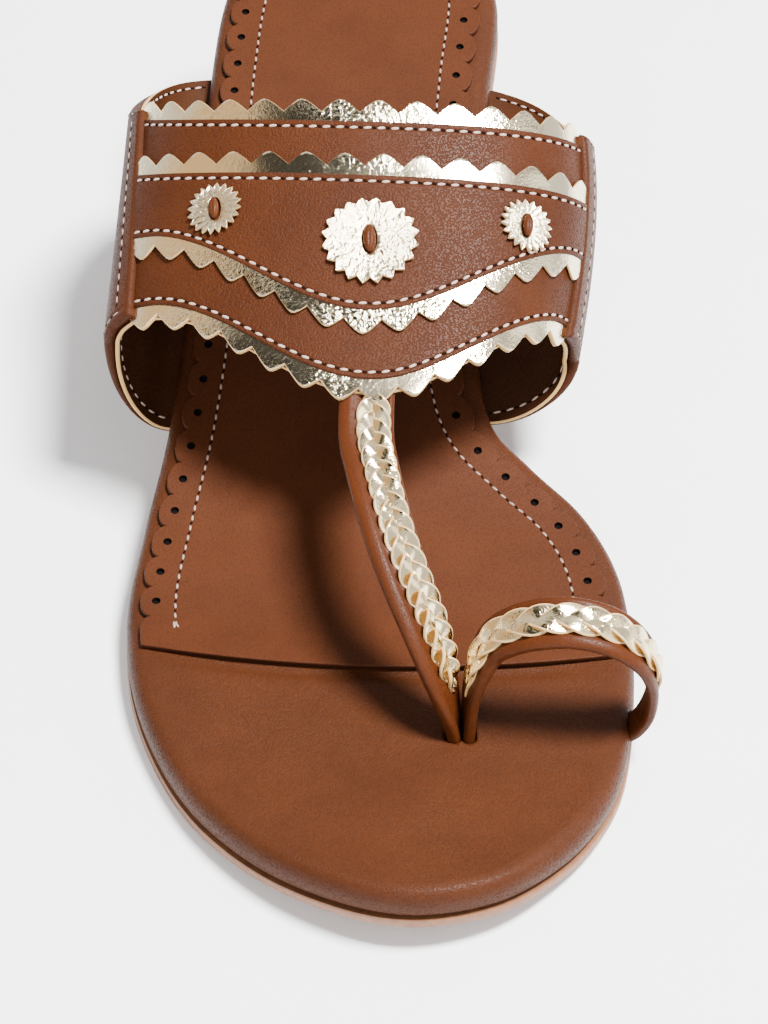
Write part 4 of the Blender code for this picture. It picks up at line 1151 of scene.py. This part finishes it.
for name, node, edge, reach, lift, thick, seed in (
    ("gold_strip_1", "rear", "vamp_rear", -GOLD_REACH, GOLD_LOW, 0.0007, 3),
    ("gold_strip_2", "panel_rear", "panel_rear", -GOLD_REACH, GOLD_HIGH, GOLD_THICK, 5),
    ("gold_strip_3", "panel_front", "panel_front", GOLD_REACH, GOLD_HIGH, GOLD_THICK, 8),
    ("gold_strip_4", "front", "vamp_front", GOLD_REACH, GOLD_LOW, 0.0009, 11),
):
    dress(gold_strip(name, edge, reach, lift, thick, seed), "gold_leather", "gold_strip_" + node)

# %% [markdown]
# A stitch is a short twist of thread that dives into the leather at both ends. One rice-shaped stitch is
# modelled, and each copy is turned along its seam. Between two stitches the needle leaves a prick, and a
# flattened near-black copy there is painted shade for its depth.

# %% Stitch tools
def grain_of_rice(name, finish, segments=8, rings=6):
    """One ball of radius 1 to be stretched into stitches or flattened into pricks."""
    deselect()
    bpy.ops.mesh.primitive_uv_sphere_add(segments=segments, ring_count=rings, radius=1.0, location=(0, 0, 0))
    ball = bpy.context.object
    ball.name = name
    bpy.ops.object.shade_smooth()
    ball.data.materials.append(finish)
    return ball


def copies(name, model, places):
    """Copies of a model at matrices, joined into one piece. The model is used up."""
    made = []
    for matrix in places:
        copy = model.copy()
        copy.data = model.data.copy()
        copy.data.transform(matrix)
        bpy.context.scene.collection.objects.link(copy)
        made.append(copy)
    bpy.data.objects.remove(model, do_unlink=True)
    return join(name, made)


def seat(centre, along, normal, size):
    """Matrix that puts a model down on a surface: x along, y across, z outwards."""
    along, normal = Vector(along).normalized(), Vector(normal).normalized()
    across = normal.cross(along).normalized()
    normal = along.cross(across).normalized()
    turn = Matrix((along, across, normal)).transposed().to_4x4()
    return Matrix.Translation(Vector(centre)) @ turn @ Matrix.Diagonal((*size, 1.0))


def even_path(points, normals, pitch):
    """Centres, directions and normals at an even pitch along a path."""
    run = run_along(points)
    count = max(2, round(run[-1] / pitch))
    at = (np.arange(count) + 0.5) * run[-1] / count
    ahead = read_line(points, run, at + 2e-4) - read_line(points, run, at - 2e-4)
    return zip(read_line(points, run, at), unit(ahead), unit(read_line(normals, run, at)))


STITCH_PITCH = 0.00242
STITCH_SLANT = 0.10
PRICK_SLANT = -0.3


def stitch_seam(name, paths, thread, long=0.00152, wide=0.00054, high=0.00042, pitch=STITCH_PITCH):
    """Stitches and pricks along one or more paths of points and normals."""
    threads, pricks = [], []
    prick_size = (pitch * 0.19, wide * 0.56, 0.00009)
    for points, normals in paths:
        for centre, along, normal in even_path(points, normals, pitch):
            across = np.cross(normal, along)
            way = unit(along + STITCH_SLANT * across)
            threads.append(seat(centre + normal * high * 0.12, way, normal, (long / 2, wide / 2, high / 2)))
            # Each prick is a flattened near-black copy, painted shade for the needle hole.
            way = unit(along + PRICK_SLANT * across)
            pricks.append(seat(centre + along * pitch / 2 + normal * 0.00004, way, normal, prick_size))
    dress(copies("stitches_" + name, grain_of_rice("rice", thread), threads), "brown_leather")
    dress(copies("prick_shades_" + name, grain_of_rice("rice", prick_painted_shade, 8, 4), pricks), "brown_leather")


def band_path(edge, reach, lift, start, end, count=260):
    girths = np.linspace(start, end, count)
    return band(girths, edge_place(edge, girths, reach), lift)


# %% Stitches on the band
THREAD_SINK = 0.00013
seam_start, seam_end = -SEAM_LATERAL + 0.006, SEAM_MEDIAL - 0.005
for word, lift in (("vamp", -VAMP_FACE), ("panel", PANEL_LIFT)):
    stitch_seam(word, [
        band_path(word + "_rear", STITCH_INSET, lift - THREAD_SINK, seam_start, seam_end),
        band_path(word + "_front", -STITCH_INSET, lift - THREAD_SINK, seam_start, seam_end),
    ], thread_finish)

# %% [markdown]
# Each quarter is sewn once along its seam over the vamp, a little behind the folded edge, and once round
# the opening, where the thread shows on the lining just inside the pale edge.

# %% Stitches on the quarters and the lining
LINING_STITCH = 0.0019
GIRTH_LENGTH = 0.071
FINE_THREAD = {"wide": 0.00044, "high": 0.0003}
quarter_paths, lining_paths = [], []
for side, seam in ((-1, SEAM_LATERAL), (1, SEAM_MEDIAL)):
    at = side * (seam + QUARTER_EDGE_STITCH[side > 0] / GIRTH_LENGTH)
    rear, front = wall_ends(np.array([at]))
    places = np.linspace(rear[0] + 0.05, front[0] - 0.05, 120)
    quarter_paths.append(band(np.full(120, at), places, -0.00004))
    girths = side * np.linspace(seam + 0.02, 0.93, 160)
    rear, front = wall_ends(girths)
    stretch = np.linalg.norm(read_net(net_along, girths, front), axis=-1)
    quarter_paths.append(band(girths, front - QUARTER_STITCH / stretch, -0.00010))
    quarter_paths.append(band(girths, rear + QUARTER_STITCH / stretch, -0.00010))
    for places in (front - LINING_STITCH / stretch, rear + LINING_STITCH / stretch):
        points, normals = band(girths, places, inner_lift(girths) - 0.00003)
        lining_paths.append((points, -normals))
stitch_seam("quarters", quarter_paths, sock_thread, **FINE_THREAD)
stitch_seam("lining", lining_paths, thread_finish, **FINE_THREAD)

# %% [markdown]
# The rosettes are pinked discs of the same foil, pushed over a knot of brown leather. A disc is one slab
# that runs round a slot, and it cups slightly, so the crinkled foil catches the light in patches.

# %% Rosettes
ROSETTES = (
    ("centre", -0.022, 0.622, 0.0084),
    ("lateral", -0.378, 0.486, 0.0051),
    ("medial", 0.325, 0.556, 0.0051),
)
ROSETTE_TEETH = 20
ROSETTE_TOOTH = 0.0011
ROSETTE_THICK = 0.0005
KNOT_LENGTH = 0.0052
KNOT_WIDTH = 0.0022
KNOT_HEIGHT = 0.0016


def on_panel(girth, place, sideways, ahead, lift):
    """Points and normals of the panel at distances from a spot on it."""
    across = read_net(net_across, girth, place)
    along = read_net(net_along, girth, place)
    normal = unit(np.cross(along, across))
    ahead_way = unit(along)
    side_way = np.cross(normal, ahead_way)
    side_way = side_way * np.sign(side_way[0])
    wanted = np.asarray(sideways)[..., None] * side_way + np.asarray(ahead)[..., None] * ahead_way
    fitted = wanted @ np.linalg.pinv(np.stack([across, along], 1)).T
    return band(girth + fitted[..., 0], place + fitted[..., 1], lift)


def knot_scale(radius):
    return 0.55 + 0.45 * radius / ROSETTES[0][3]


def rosette(name, girth, place, radius, seed):
    """A pinked disc round a slot, slightly cupped."""
    steps = 8
    angle = np.linspace(0, 2 * math.pi, ROSETTE_TEETH * steps + 1)
    phase = (angle / (2 * math.pi) * ROSETTE_TEETH) % 1.0
    rim = radius - ROSETTE_TOOTH * np.abs(2 * phase - 1)
    scale = knot_scale(radius)
    slot_x, slot_y = (KNOT_WIDTH / 2 + GAP) * scale, (KNOT_LENGTH / 2 + GAP) * scale
    share = np.linspace(0, 1, 12)
    x = np.cos(angle)[:, None] * (slot_x + (rim[:, None] - slot_x) * share)
    y = np.sin(angle)[:, None] * (slot_y + (rim[:, None] - slot_y) * share)
    flat = np.stack([x, y, 0 * x], -1)
    cup = wrinkle(flat, 0.007, 0.00009, seed) * share ** 2 + 0.00022 * share ** 3 - 0.0002 * (1 - share) ** 2
    face, normal = on_panel(girth, place, x, y, PANEL_LIFT + GAP + ROSETTE_THICK + cup)
    return slab("rosette_disc_" + name, face, normal, ROSETTE_THICK, rosette_foil, 0.4, closed=True, sharp=40)


for seed, (name, girth, place, radius) in enumerate(ROSETTES):
    dress(rosette(name, girth, place, radius, 20 + seed), "gold_leather", "rosette_" + name)

# %% [markdown]
# The knot is a folded leather thong that comes up through the slot: a plump bead with a crease along it.
# A ball is a fair start, and its points are then pushed to the bead's shape on the curved panel.

# %% Knots
def knot(name, girth, place, radius):
    """A creased bead in a rosette's slot."""
    bead = grain_of_rice("bead_" + name, strap_leather, 32, 20)
    co = points_of(bead)
    scale = knot_scale(radius)
    fold = 1 - 0.16 * np.exp(-(co[:, 0] / 0.22) ** 2) * np.clip(co[:, 2], 0, 1)
    x = co[:, 0] * KNOT_WIDTH / 2 * scale * (1 - 0.12 * co[:, 1] ** 2)
    y = co[:, 1] * KNOT_LENGTH / 2 * scale
    z = PANEL_LIFT + GAP + KNOT_HEIGHT * (0.42 + 0.52 * co[:, 2] * fold)
    place_points(bead, on_panel(girth, place, x, y, z)[0])
    bead.name = bead.data.name = "knot_bead_" + name
    turn_outwards(bead)
    return bead


for name, girth, place, radius in ROSETTES:
    dress(knot(name, girth, place, radius), "brown_leather", "knot_" + name)

# %% [markdown]
# The straps run on routes of measured points, each with the way its face looks and its share of the
# width. The centre strap starts beneath the vamp's point and ends at the toe post. The ring leaves the
# same post, goes over the big toe and is lasted into the medial edge.

# %% Routes of the straps
STRAP_WIDTH = 0.0096
STRAP_THICK = 0.0026
STRAP_OVERLAP = 0.0004
RING_WIDTH = 0.0092
RING_THICK = 0.0023
CENTRE_STRAP = (
    (0.1515, 0.0003, 0.0377, 0.00, -0.45, 0.90, 1.00),
    (0.1593, 0.0013, 0.0367, 0.04, -0.45, 0.90, 0.97),
    (0.1667, 0.0027, 0.0352, 0.10, -0.52, 0.85, 0.95),
    (0.1737, 0.0046, 0.0326, 0.18, -0.60, 0.78, 0.94),
    (0.1798, 0.0070, 0.0292, 0.30, -0.66, 0.68, 0.94),
    (0.1856, 0.0098, 0.0244, 0.50, -0.68, 0.53, 0.92),
    (0.1900, 0.0120, 0.0188, 0.74, -0.58, 0.34, 0.84),
    (0.1924, 0.0137, 0.0132, 0.92, -0.38, 0.12, 0.72),
    (0.1932, 0.0147, 0.0088, 0.98, -0.20, 0.00, 0.62),
    (0.1934, 0.0151, 0.0046, 1.00, -0.10, 0.00, 0.58),
)
TOE_RING = (
    (0.1936, 0.0170, 0.0046, -1.00, -0.10, 0.00, 0.60),
    (0.1932, 0.0170, 0.0088, -0.99, -0.10, 0.05, 0.64),
    (0.1912, 0.0178, 0.0165, -0.96, -0.16, 0.25, 0.80),
    (0.1892, 0.0206, 0.0238, -0.72, -0.26, 0.66, 0.92),
    (0.1897, 0.0242, 0.0276, -0.40, -0.34, 0.86, 0.98),
    (0.1908, 0.0288, 0.0302, -0.12, -0.38, 0.92, 1.00),
    (0.1915, 0.0342, 0.0310, 0.08, -0.38, 0.92, 1.00),
    (0.1920, 0.0396, 0.0298, 0.34, -0.32, 0.88, 1.00),
    (0.1922, 0.0436, 0.0272, 0.62, -0.26, 0.74, 0.98),
    (0.1918, 0.0464, 0.0232, 0.86, -0.20, 0.46, 0.94),
    (0.1912, 0.0478, 0.0186, 0.98, -0.14, 0.14, 0.86),
    (0.1908, 0.0480, 0.0140, 0.98, -0.08, -0.18, 0.76),
    (0.1906, 0.0472, 0.0094, 0.88, 0.00, -0.50, 0.68),
    (0.1905, 0.0452, 0.0058, 0.50, 0.00, -0.86, 0.62),
    (0.1905, 0.0420, 0.0043, 0.08, 0.00, -1.00, 0.60),
    (0.1905, 0.0385, 0.0041, 0.00, 0.00, -1.00, 0.60),
)


def centre_strap_rows():
    """The centre strap's route, starting under the vamp's point."""
    found = []
    for back in (-0.0070, -0.0015):
        place = edge_place("vamp_front", POINT_CENTRE, back)
        point, normal = band(POINT_CENTRE, place, -(WALL_INSIDE - STRAP_OVERLAP + STRAP_THICK / 2))
        found.append((HEEL_CENTRE - point[1], point[0], point[2], normal[0], normal[1], normal[2], 1.0))
    return tuple(found) + CENTRE_STRAP


def strap_frames(rows, shares):
    """Centres, sideways and outer directions and width shares at shares of a route's length."""
    dense = through(rows, 900)
    points = world(dense[:, 1], dense[:, 0], dense[:, 2])
    run = run_along(points)
    at = np.asarray(shares) * run[-1]
    ahead = read_line(points, run, np.minimum(at + 5e-4, run[-1]))
    along = unit(ahead - read_line(points, run, np.maximum(at - 5e-4, 0)))
    faces = read_line(dense[:, 3:], run, at)
    sideways = unit(np.cross(along, faces[:, :3]))
    return read_line(points, run, at), sideways, unit(np.cross(sideways, along)), faces[:, 3], float(run[-1])


for word, rows in (("centre strap", centre_strap_rows()), ("toe ring", TOE_RING)):
    print(word, "is", round(strap_frames(rows, [0.5])[4] * 1000, 1), "mm long")

# %% [markdown]
# Each strap is a padded band of folded leather with a raised rim on both sides and a trough between
# them for the plait. The left rim of the centre strap is broad and the right one narrow. The section is a
# rounded box whose upper side follows a small profile, and it is carried along the route.

# %% Padded straps
RIM_SOFTNESS = 0.16


def strap_piece(name, rows, width, thick, rims, trough, start=0.0, end=1.0, columns=200, grow=0.0):
    """A strap whose face has rims of the given shares of its width and a trough between them."""
    centre, sideways, outer, share, _ = strap_frames(rows, np.linspace(start, end, columns))
    angle = np.linspace(0, 2 * math.pi, 65)
    u = np.sign(np.cos(angle)) * np.abs(np.cos(angle)) ** 0.6
    w = np.sign(np.sin(angle)) * np.abs(np.sin(angle)) ** 0.7
    low, high = -1 + 2 * rims[0], 1 - 2 * rims[1]
    inside = 1 / (1 + np.exp(-(u - low) / RIM_SOFTNESS * 4)) * 1 / (1 + np.exp((u - high) / RIM_SOFTNESS * 4))
    sink = np.where(w > 0, trough * inside * np.clip(w * 3, 0, 1), 0.0)
    half = (width * share / 2 + grow)[:, None, None]
    points = centre[:, None] + sideways[:, None] * half * u[None, :, None]
    points = points + outer[:, None] * ((w * (thick / 2 + grow) - sink)[None, :, None])
    first, last = (points[index].mean(0) for index in (0, -1))
    closing = [first + 0 * points[0], first + (points[0] - first) * 0.5]
    opening = [last + (points[-1] - last) * 0.5, last + 0 * points[-1]]
    return wrap(name, np.concatenate([closing, points, opening]), strap_leather, sharp=60)


centre_strap = strap_piece("centre_strap", centre_strap_rows(), STRAP_WIDTH, STRAP_THICK, (0.10, 0.27), 0.0004)
toe_ring = strap_piece("toe_ring", TOE_RING, RING_WIDTH, RING_THICK, (0.14, 0.22), 0.0003)
dress(centre_strap, "brown_leather", "upper")
dress(toe_ring, "brown_leather", "upper")

# %% [markdown]
# A plait of three thongs follows two waves: each thong swings from side to side once while it rises and
# falls twice, and the three are a third of a turn apart, so each goes over one and under the next. A
# picture of a plait would be flat, so the three are modelled as real ribbons. Each is a flat thong with
# raw cut edges, and the edge that looks towards the toe post stands a little proud, like a scale.

# %% Plaits
RIBBON_SECTION = (
    (1.0, 0.0), (0.99, 0.30), (0.93, 0.62), (0.80, 0.80), (0.45, 0.96), (0.0, 1.0),
    (-0.45, 0.96), (-0.80, 0.80), (-0.93, 0.62), (-0.99, 0.30), (-1.0, 0.0), (-0.97, -0.6),
    (-0.85, -0.95), (0.0, -1.0), (0.85, -0.95), (0.97, -0.6), (1.0, 0.0),
)
RIBBON_EDGE = (1, 1, 1, 0.1, 0, 0, 0, 0.1, 1, 1, 1, 1, 1, 1, 1, 1, 1)


def plait(name, node, rows, span, width, turn_length, thick, ribbon, rise, base, lean, scale_tilt):
    """Three ribbons plaited along a strap's route, joined into one piece."""
    start, end = span
    turns = max(2, round(strap_frames(rows, [0.5])[4] * (end - start) / turn_length))
    t = np.linspace(0, 1, turns * 54 + 1)
    centre, sideways, outer, share, _ = strap_frames(rows, start + (end - start) * t)
    u, w = np.array(RIBBON_SECTION).T
    ease = np.clip(np.minimum(t, 1 - t) * turns * 2.2, 0, 1)
    swing = (width - ribbon) / 2
    strands = []
    for strand in range(3):
        phase = 2 * math.pi * (turns * t + strand / 3)
        x = share * (swing * np.sin(phase) * (0.10 + 0.90 * ease) + lean)
        z = base * (0.6 + 0.4 * ease) + rise * np.sin(2 * phase + 0.35) * (0.3 + 0.7 * ease)
        path = centre + sideways * x[:, None] + outer * z[:, None]
        ahead = unit(np.gradient(path, axis=0))
        flat = unit(np.cross(outer, ahead))
        tilt = -scale_tilt * np.cos(phase)
        across = unit(flat * np.cos(tilt)[:, None] + outer * np.sin(tilt)[:, None])
        up = unit(np.cross(ahead, across))
        half = ribbon / 2 * share * (0.30 + 0.70 * ease)
        points = path[:, None] + across[:, None] * (half[:, None, None] * u[None, :, None])
        points = points + up[:, None] * (thick / 2 * w)[None, :, None]
        points = np.concatenate([path[:1, None] + 0 * points[:1], points, path[-1:, None] + 0 * points[:1]])
        rim = np.broadcast_to(np.array(RIBBON_EDGE, float), points.shape[:2])
        edge_mm = np.broadcast_to((1 - np.abs(u)) * ribbon / 2 * 1000, points.shape[:2])
        marks = {"rim": rim, "under": 0 * rim, "edge_mm": edge_mm}
        strands.append(wrap(name + str(strand), points, braid_foil, marks, 40))
    return dress(join(name, strands), "gold_leather", node)


plait("centre_plait", "centre_braid", centre_strap_rows(), (0.10, 0.86), width=0.0060, turn_length=0.0093,
      thick=0.0007, ribbon=0.0030, rise=0.00055, base=0.00160, lean=-0.0013, scale_tilt=0.55)
plait("ring_plait", "ring_braid", TOE_RING, (0.13, 0.78), width=0.0056, turn_length=0.0122,
      thick=0.0006, ribbon=0.0031, rise=0.00030, base=0.00125, lean=-0.0003, scale_tilt=0.22)

# %% [markdown]
# The straps and the band go into the footbed. The footbed gets a slot round each strap end, cut with a
# grown copy of the strap, so a thin dark line shows where the leather goes down.

# %% Slots in the footbed
slots = (
    ("post", centre_strap_rows(), STRAP_WIDTH, STRAP_THICK, 0.75, 1.0),
    ("ring_post", TOE_RING, RING_WIDTH, RING_THICK, 0.0, 0.2),
    ("ring_end", TOE_RING, RING_WIDTH, RING_THICK, 0.7, 1.0),
)
for word, rows, width, thick, start, end in slots:
    cut_away(footbed, strap_piece("cutter_" + word, rows, width, thick, (0.2, 0.2), 0.0, start, end, 40, GAP))
dress(footbed, "brown_leather", "footbed")

# %% [markdown]
# A punched hole is dark inside. Each hole is cut through the sock lining by a small drum, whose near-black
# finish passes to the hole's walls, and a near-black disc closes it from below. Walls and disc are painted
# shade for the depth of the hole.

# %% Holes of the sock lining
HOLE_RADIUS = 0.00076
HOLE_INBOARD_LATERAL = 0.0028
HOLE_INBOARD_MEDIAL = 0.0031
hole_spots = []
for sock_side, inboard in zip(SOCK_SIDES, (HOLE_INBOARD_LATERAL, HOLE_INBOARD_MEDIAL)):
    hole_spots += list(sock_row(*sock_side, np.arange(SOCK_LOBES) + 0.5, inboard)[1:])


def drum(name, finish, radius, depth):
    deselect()
    bpy.ops.mesh.primitive_cylinder_add(vertices=18, radius=radius, depth=depth, location=(0, 0, 0))
    made = bpy.context.object
    made.name = name
    made.data.materials.append(finish)
    return made


# The drums' near-black finish is painted shade; the cut passes it to the hole walls.
punch = copies("hole_punch", drum("drum", hole_painted_shade, HOLE_RADIUS, 0.0030), [
    Matrix.Translation((x, y, 0.0)) for x, y in hole_spots
])
cut_away(sock, punch, "TRANSFER")
print("punched sock lining:", len(sock.data.polygons), "faces, open edges:", open_edges(sock))

# %% Sock lining laid down
def lay_down(piece):
    """A flat piece, drawn in plan, goes down on the footbed."""
    co = points_of(piece)
    place_points(piece, world(co[:, 0], co[:, 1], top_z(co[:, 1]) + GAP + co[:, 2]))


# The walls are marked as the cut, which the sock's finish paints dark as shade along the lobes.
on_top = points_of(sock)[:, 2] > 0.7 * SOCK_THICK
mark_points(sock, "edge_mm", np.where(on_top, 2.0, 0.0))
mark_points(sock, "rim", np.where(on_top, 0.0, 1.0))
lay_down(sock)
turn_outwards(sock)
bpy.ops.object.shade_smooth_by_angle(angle=math.radians(12))
dress(sock, "brown_leather", "sock")
# Near-black discs under the holes: painted shade for their depth.
shade_discs = copies("hole_shade_discs", drum("drum", hole_painted_shade, HOLE_RADIUS * 1.05, 0.00022), [
    Matrix.Translation((x, y, -0.00004)) for x, y in hole_spots
])
lay_down(shade_discs)
dress(shade_discs, "heel_rubber")
print("holes:", len(hole_spots))

# %% [markdown]
# The sock's stitch rows run inside the holes, and three crossed threads tack each row's front end.

# %% Sock stitches
SOCK_STITCH_INBOARD = 0.0062


def sock_path(side, inset, front, inboard, first=0.8):
    """Points and normals of a line on the sock, beside one of its edges."""
    flat = sock_row(side, inset, front, np.linspace(first, SOCK_LOBES - 0.6, 500), inboard)
    slope = (top_z(flat[:, 1] + 5e-4) - top_z(flat[:, 1] - 5e-4)) / 1e-3
    points = world(flat[:, 0], flat[:, 1], top_z(flat[:, 1]) + SOCK_TOP - 0.00004)
    return points, unit(np.stack([0 * slope, slope, 1 + 0 * slope], -1))


sock_seams = [sock_path(*sock_side, SOCK_STITCH_INBOARD) for sock_side in SOCK_SIDES]
stitch_seam("sock", sock_seams, sock_thread, long=0.00125, pitch=0.0022, **FINE_THREAD)

TACK_THREADS = ((0.0, -0.35), (0.00025, 0.05), (-0.0002, 0.55))
TACK_SIZE = (0.00085, 0.00022, 0.00022)
tacks = []
for sock_side in SOCK_SIDES:
    points, normals = sock_path(*sock_side, SOCK_STITCH_INBOARD, 0.62)
    along = unit(points[2] - points[0])
    across = np.cross(normals[0], along)
    for shift, lean in TACK_THREADS:
        spot = points[0] + shift * across + normals[0] * 0.0001
        tacks.append(seat(spot, unit(along + lean * across), normals[0], TACK_SIZE))
dress(copies("bar_tacks", grain_of_rice("rice", sock_thread), tacks), "brown_leather")

# %% [markdown]
# The set is plain: a pale floor, a broad soft light overhead on the right, a weak card further right and
# a weak fill in front. The sky is pale, with a dark patch overhead, a warm one on the left and a grey one
# on the right, because the foil mirrors such surroundings in the photograph. Those patches would show as
# blots behind the shoe, so the camera itself sees the plain sky.

# %% [markdown]
# %% Floor
deselect()
bpy.ops.mesh.primitive_plane_add(size=6.0, location=(0, 0, 0))
floor = bpy.context.object
floor.name = "floor"
floor_finish = plain_finish("floor_paper", (0.90, 0.905, 0.915), (0.885, 0.89, 0.90), 60.0, 0.8, 0.02)
floor.data.materials.append(floor_finish)


# %% Lights
def soft_light(name, place, target, size, power, colour):
    data = bpy.data.lights.new(name, "AREA")
    data.shape, data.size, data.energy, data.color = "DISK", size, power, colour
    lamp = bpy.data.objects.new(name, data)
    lamp.location = place
    lamp.rotation_euler = (Vector(target) - Vector(place)).to_track_quat("-Z", "Y").to_euler()
    bpy.context.scene.collection.objects.link(lamp)
    return lamp


soft_light("window", (0.41, -0.22, 1.10), (0.0, -0.08, 0.02), 0.35, 74.0, (1.0, 0.985, 0.965))
soft_light("side_card", (1.25, -0.30, 0.62), (0.0, -0.08, 0.02), 1.0, 5.0, (1.0, 0.975, 0.95))
soft_light("front_fill", (-0.25, -1.1, 0.45), (0.0, -0.08, 0.02), 0.8, 8.0, (0.96, 0.98, 1.0))

SKY_COLOUR = (0.95, 0.96, 0.98)
SKY_STRENGTH = 1.2
sky = bpy.data.worlds.new("studio_sky")
bpy.context.scene.world = sky
sky.use_nodes = True
tree = sky.node_tree
way = put(tree, "ShaderNodeTexCoord").outputs["Generated"]
shade = SKY_COLOUR
for direction, edge, full, colour in (
    ((-0.76, 0.18, 0.62), 0.88, 0.97, (0.86, 0.60, 0.34)),
    ((0.74, 0.10, 0.66), 0.91, 0.97, (0.32, 0.30, 0.27)),
    ((-0.17, -0.08, 0.98), 0.885, 0.945, (0.010, 0.010, 0.010)),
):
    facing = put(tree, "ShaderNodeVectorMath", {0: way, 1: direction}, operation="DOT_PRODUCT").outputs["Value"]
    shade = mix_colour(tree, remap(tree, facing, edge, full, kind="SMOOTHSTEP"), shade, colour)
seen = put(tree, "ShaderNodeLightPath").outputs["Is Camera Ray"]
tree.links.new(mix_colour(tree, seen, shade, SKY_COLOUR), tree.nodes["Background"].inputs["Color"])
tree.nodes["Background"].inputs["Strength"].default_value = SKY_STRENGTH
print("lights: 3 and the sky")
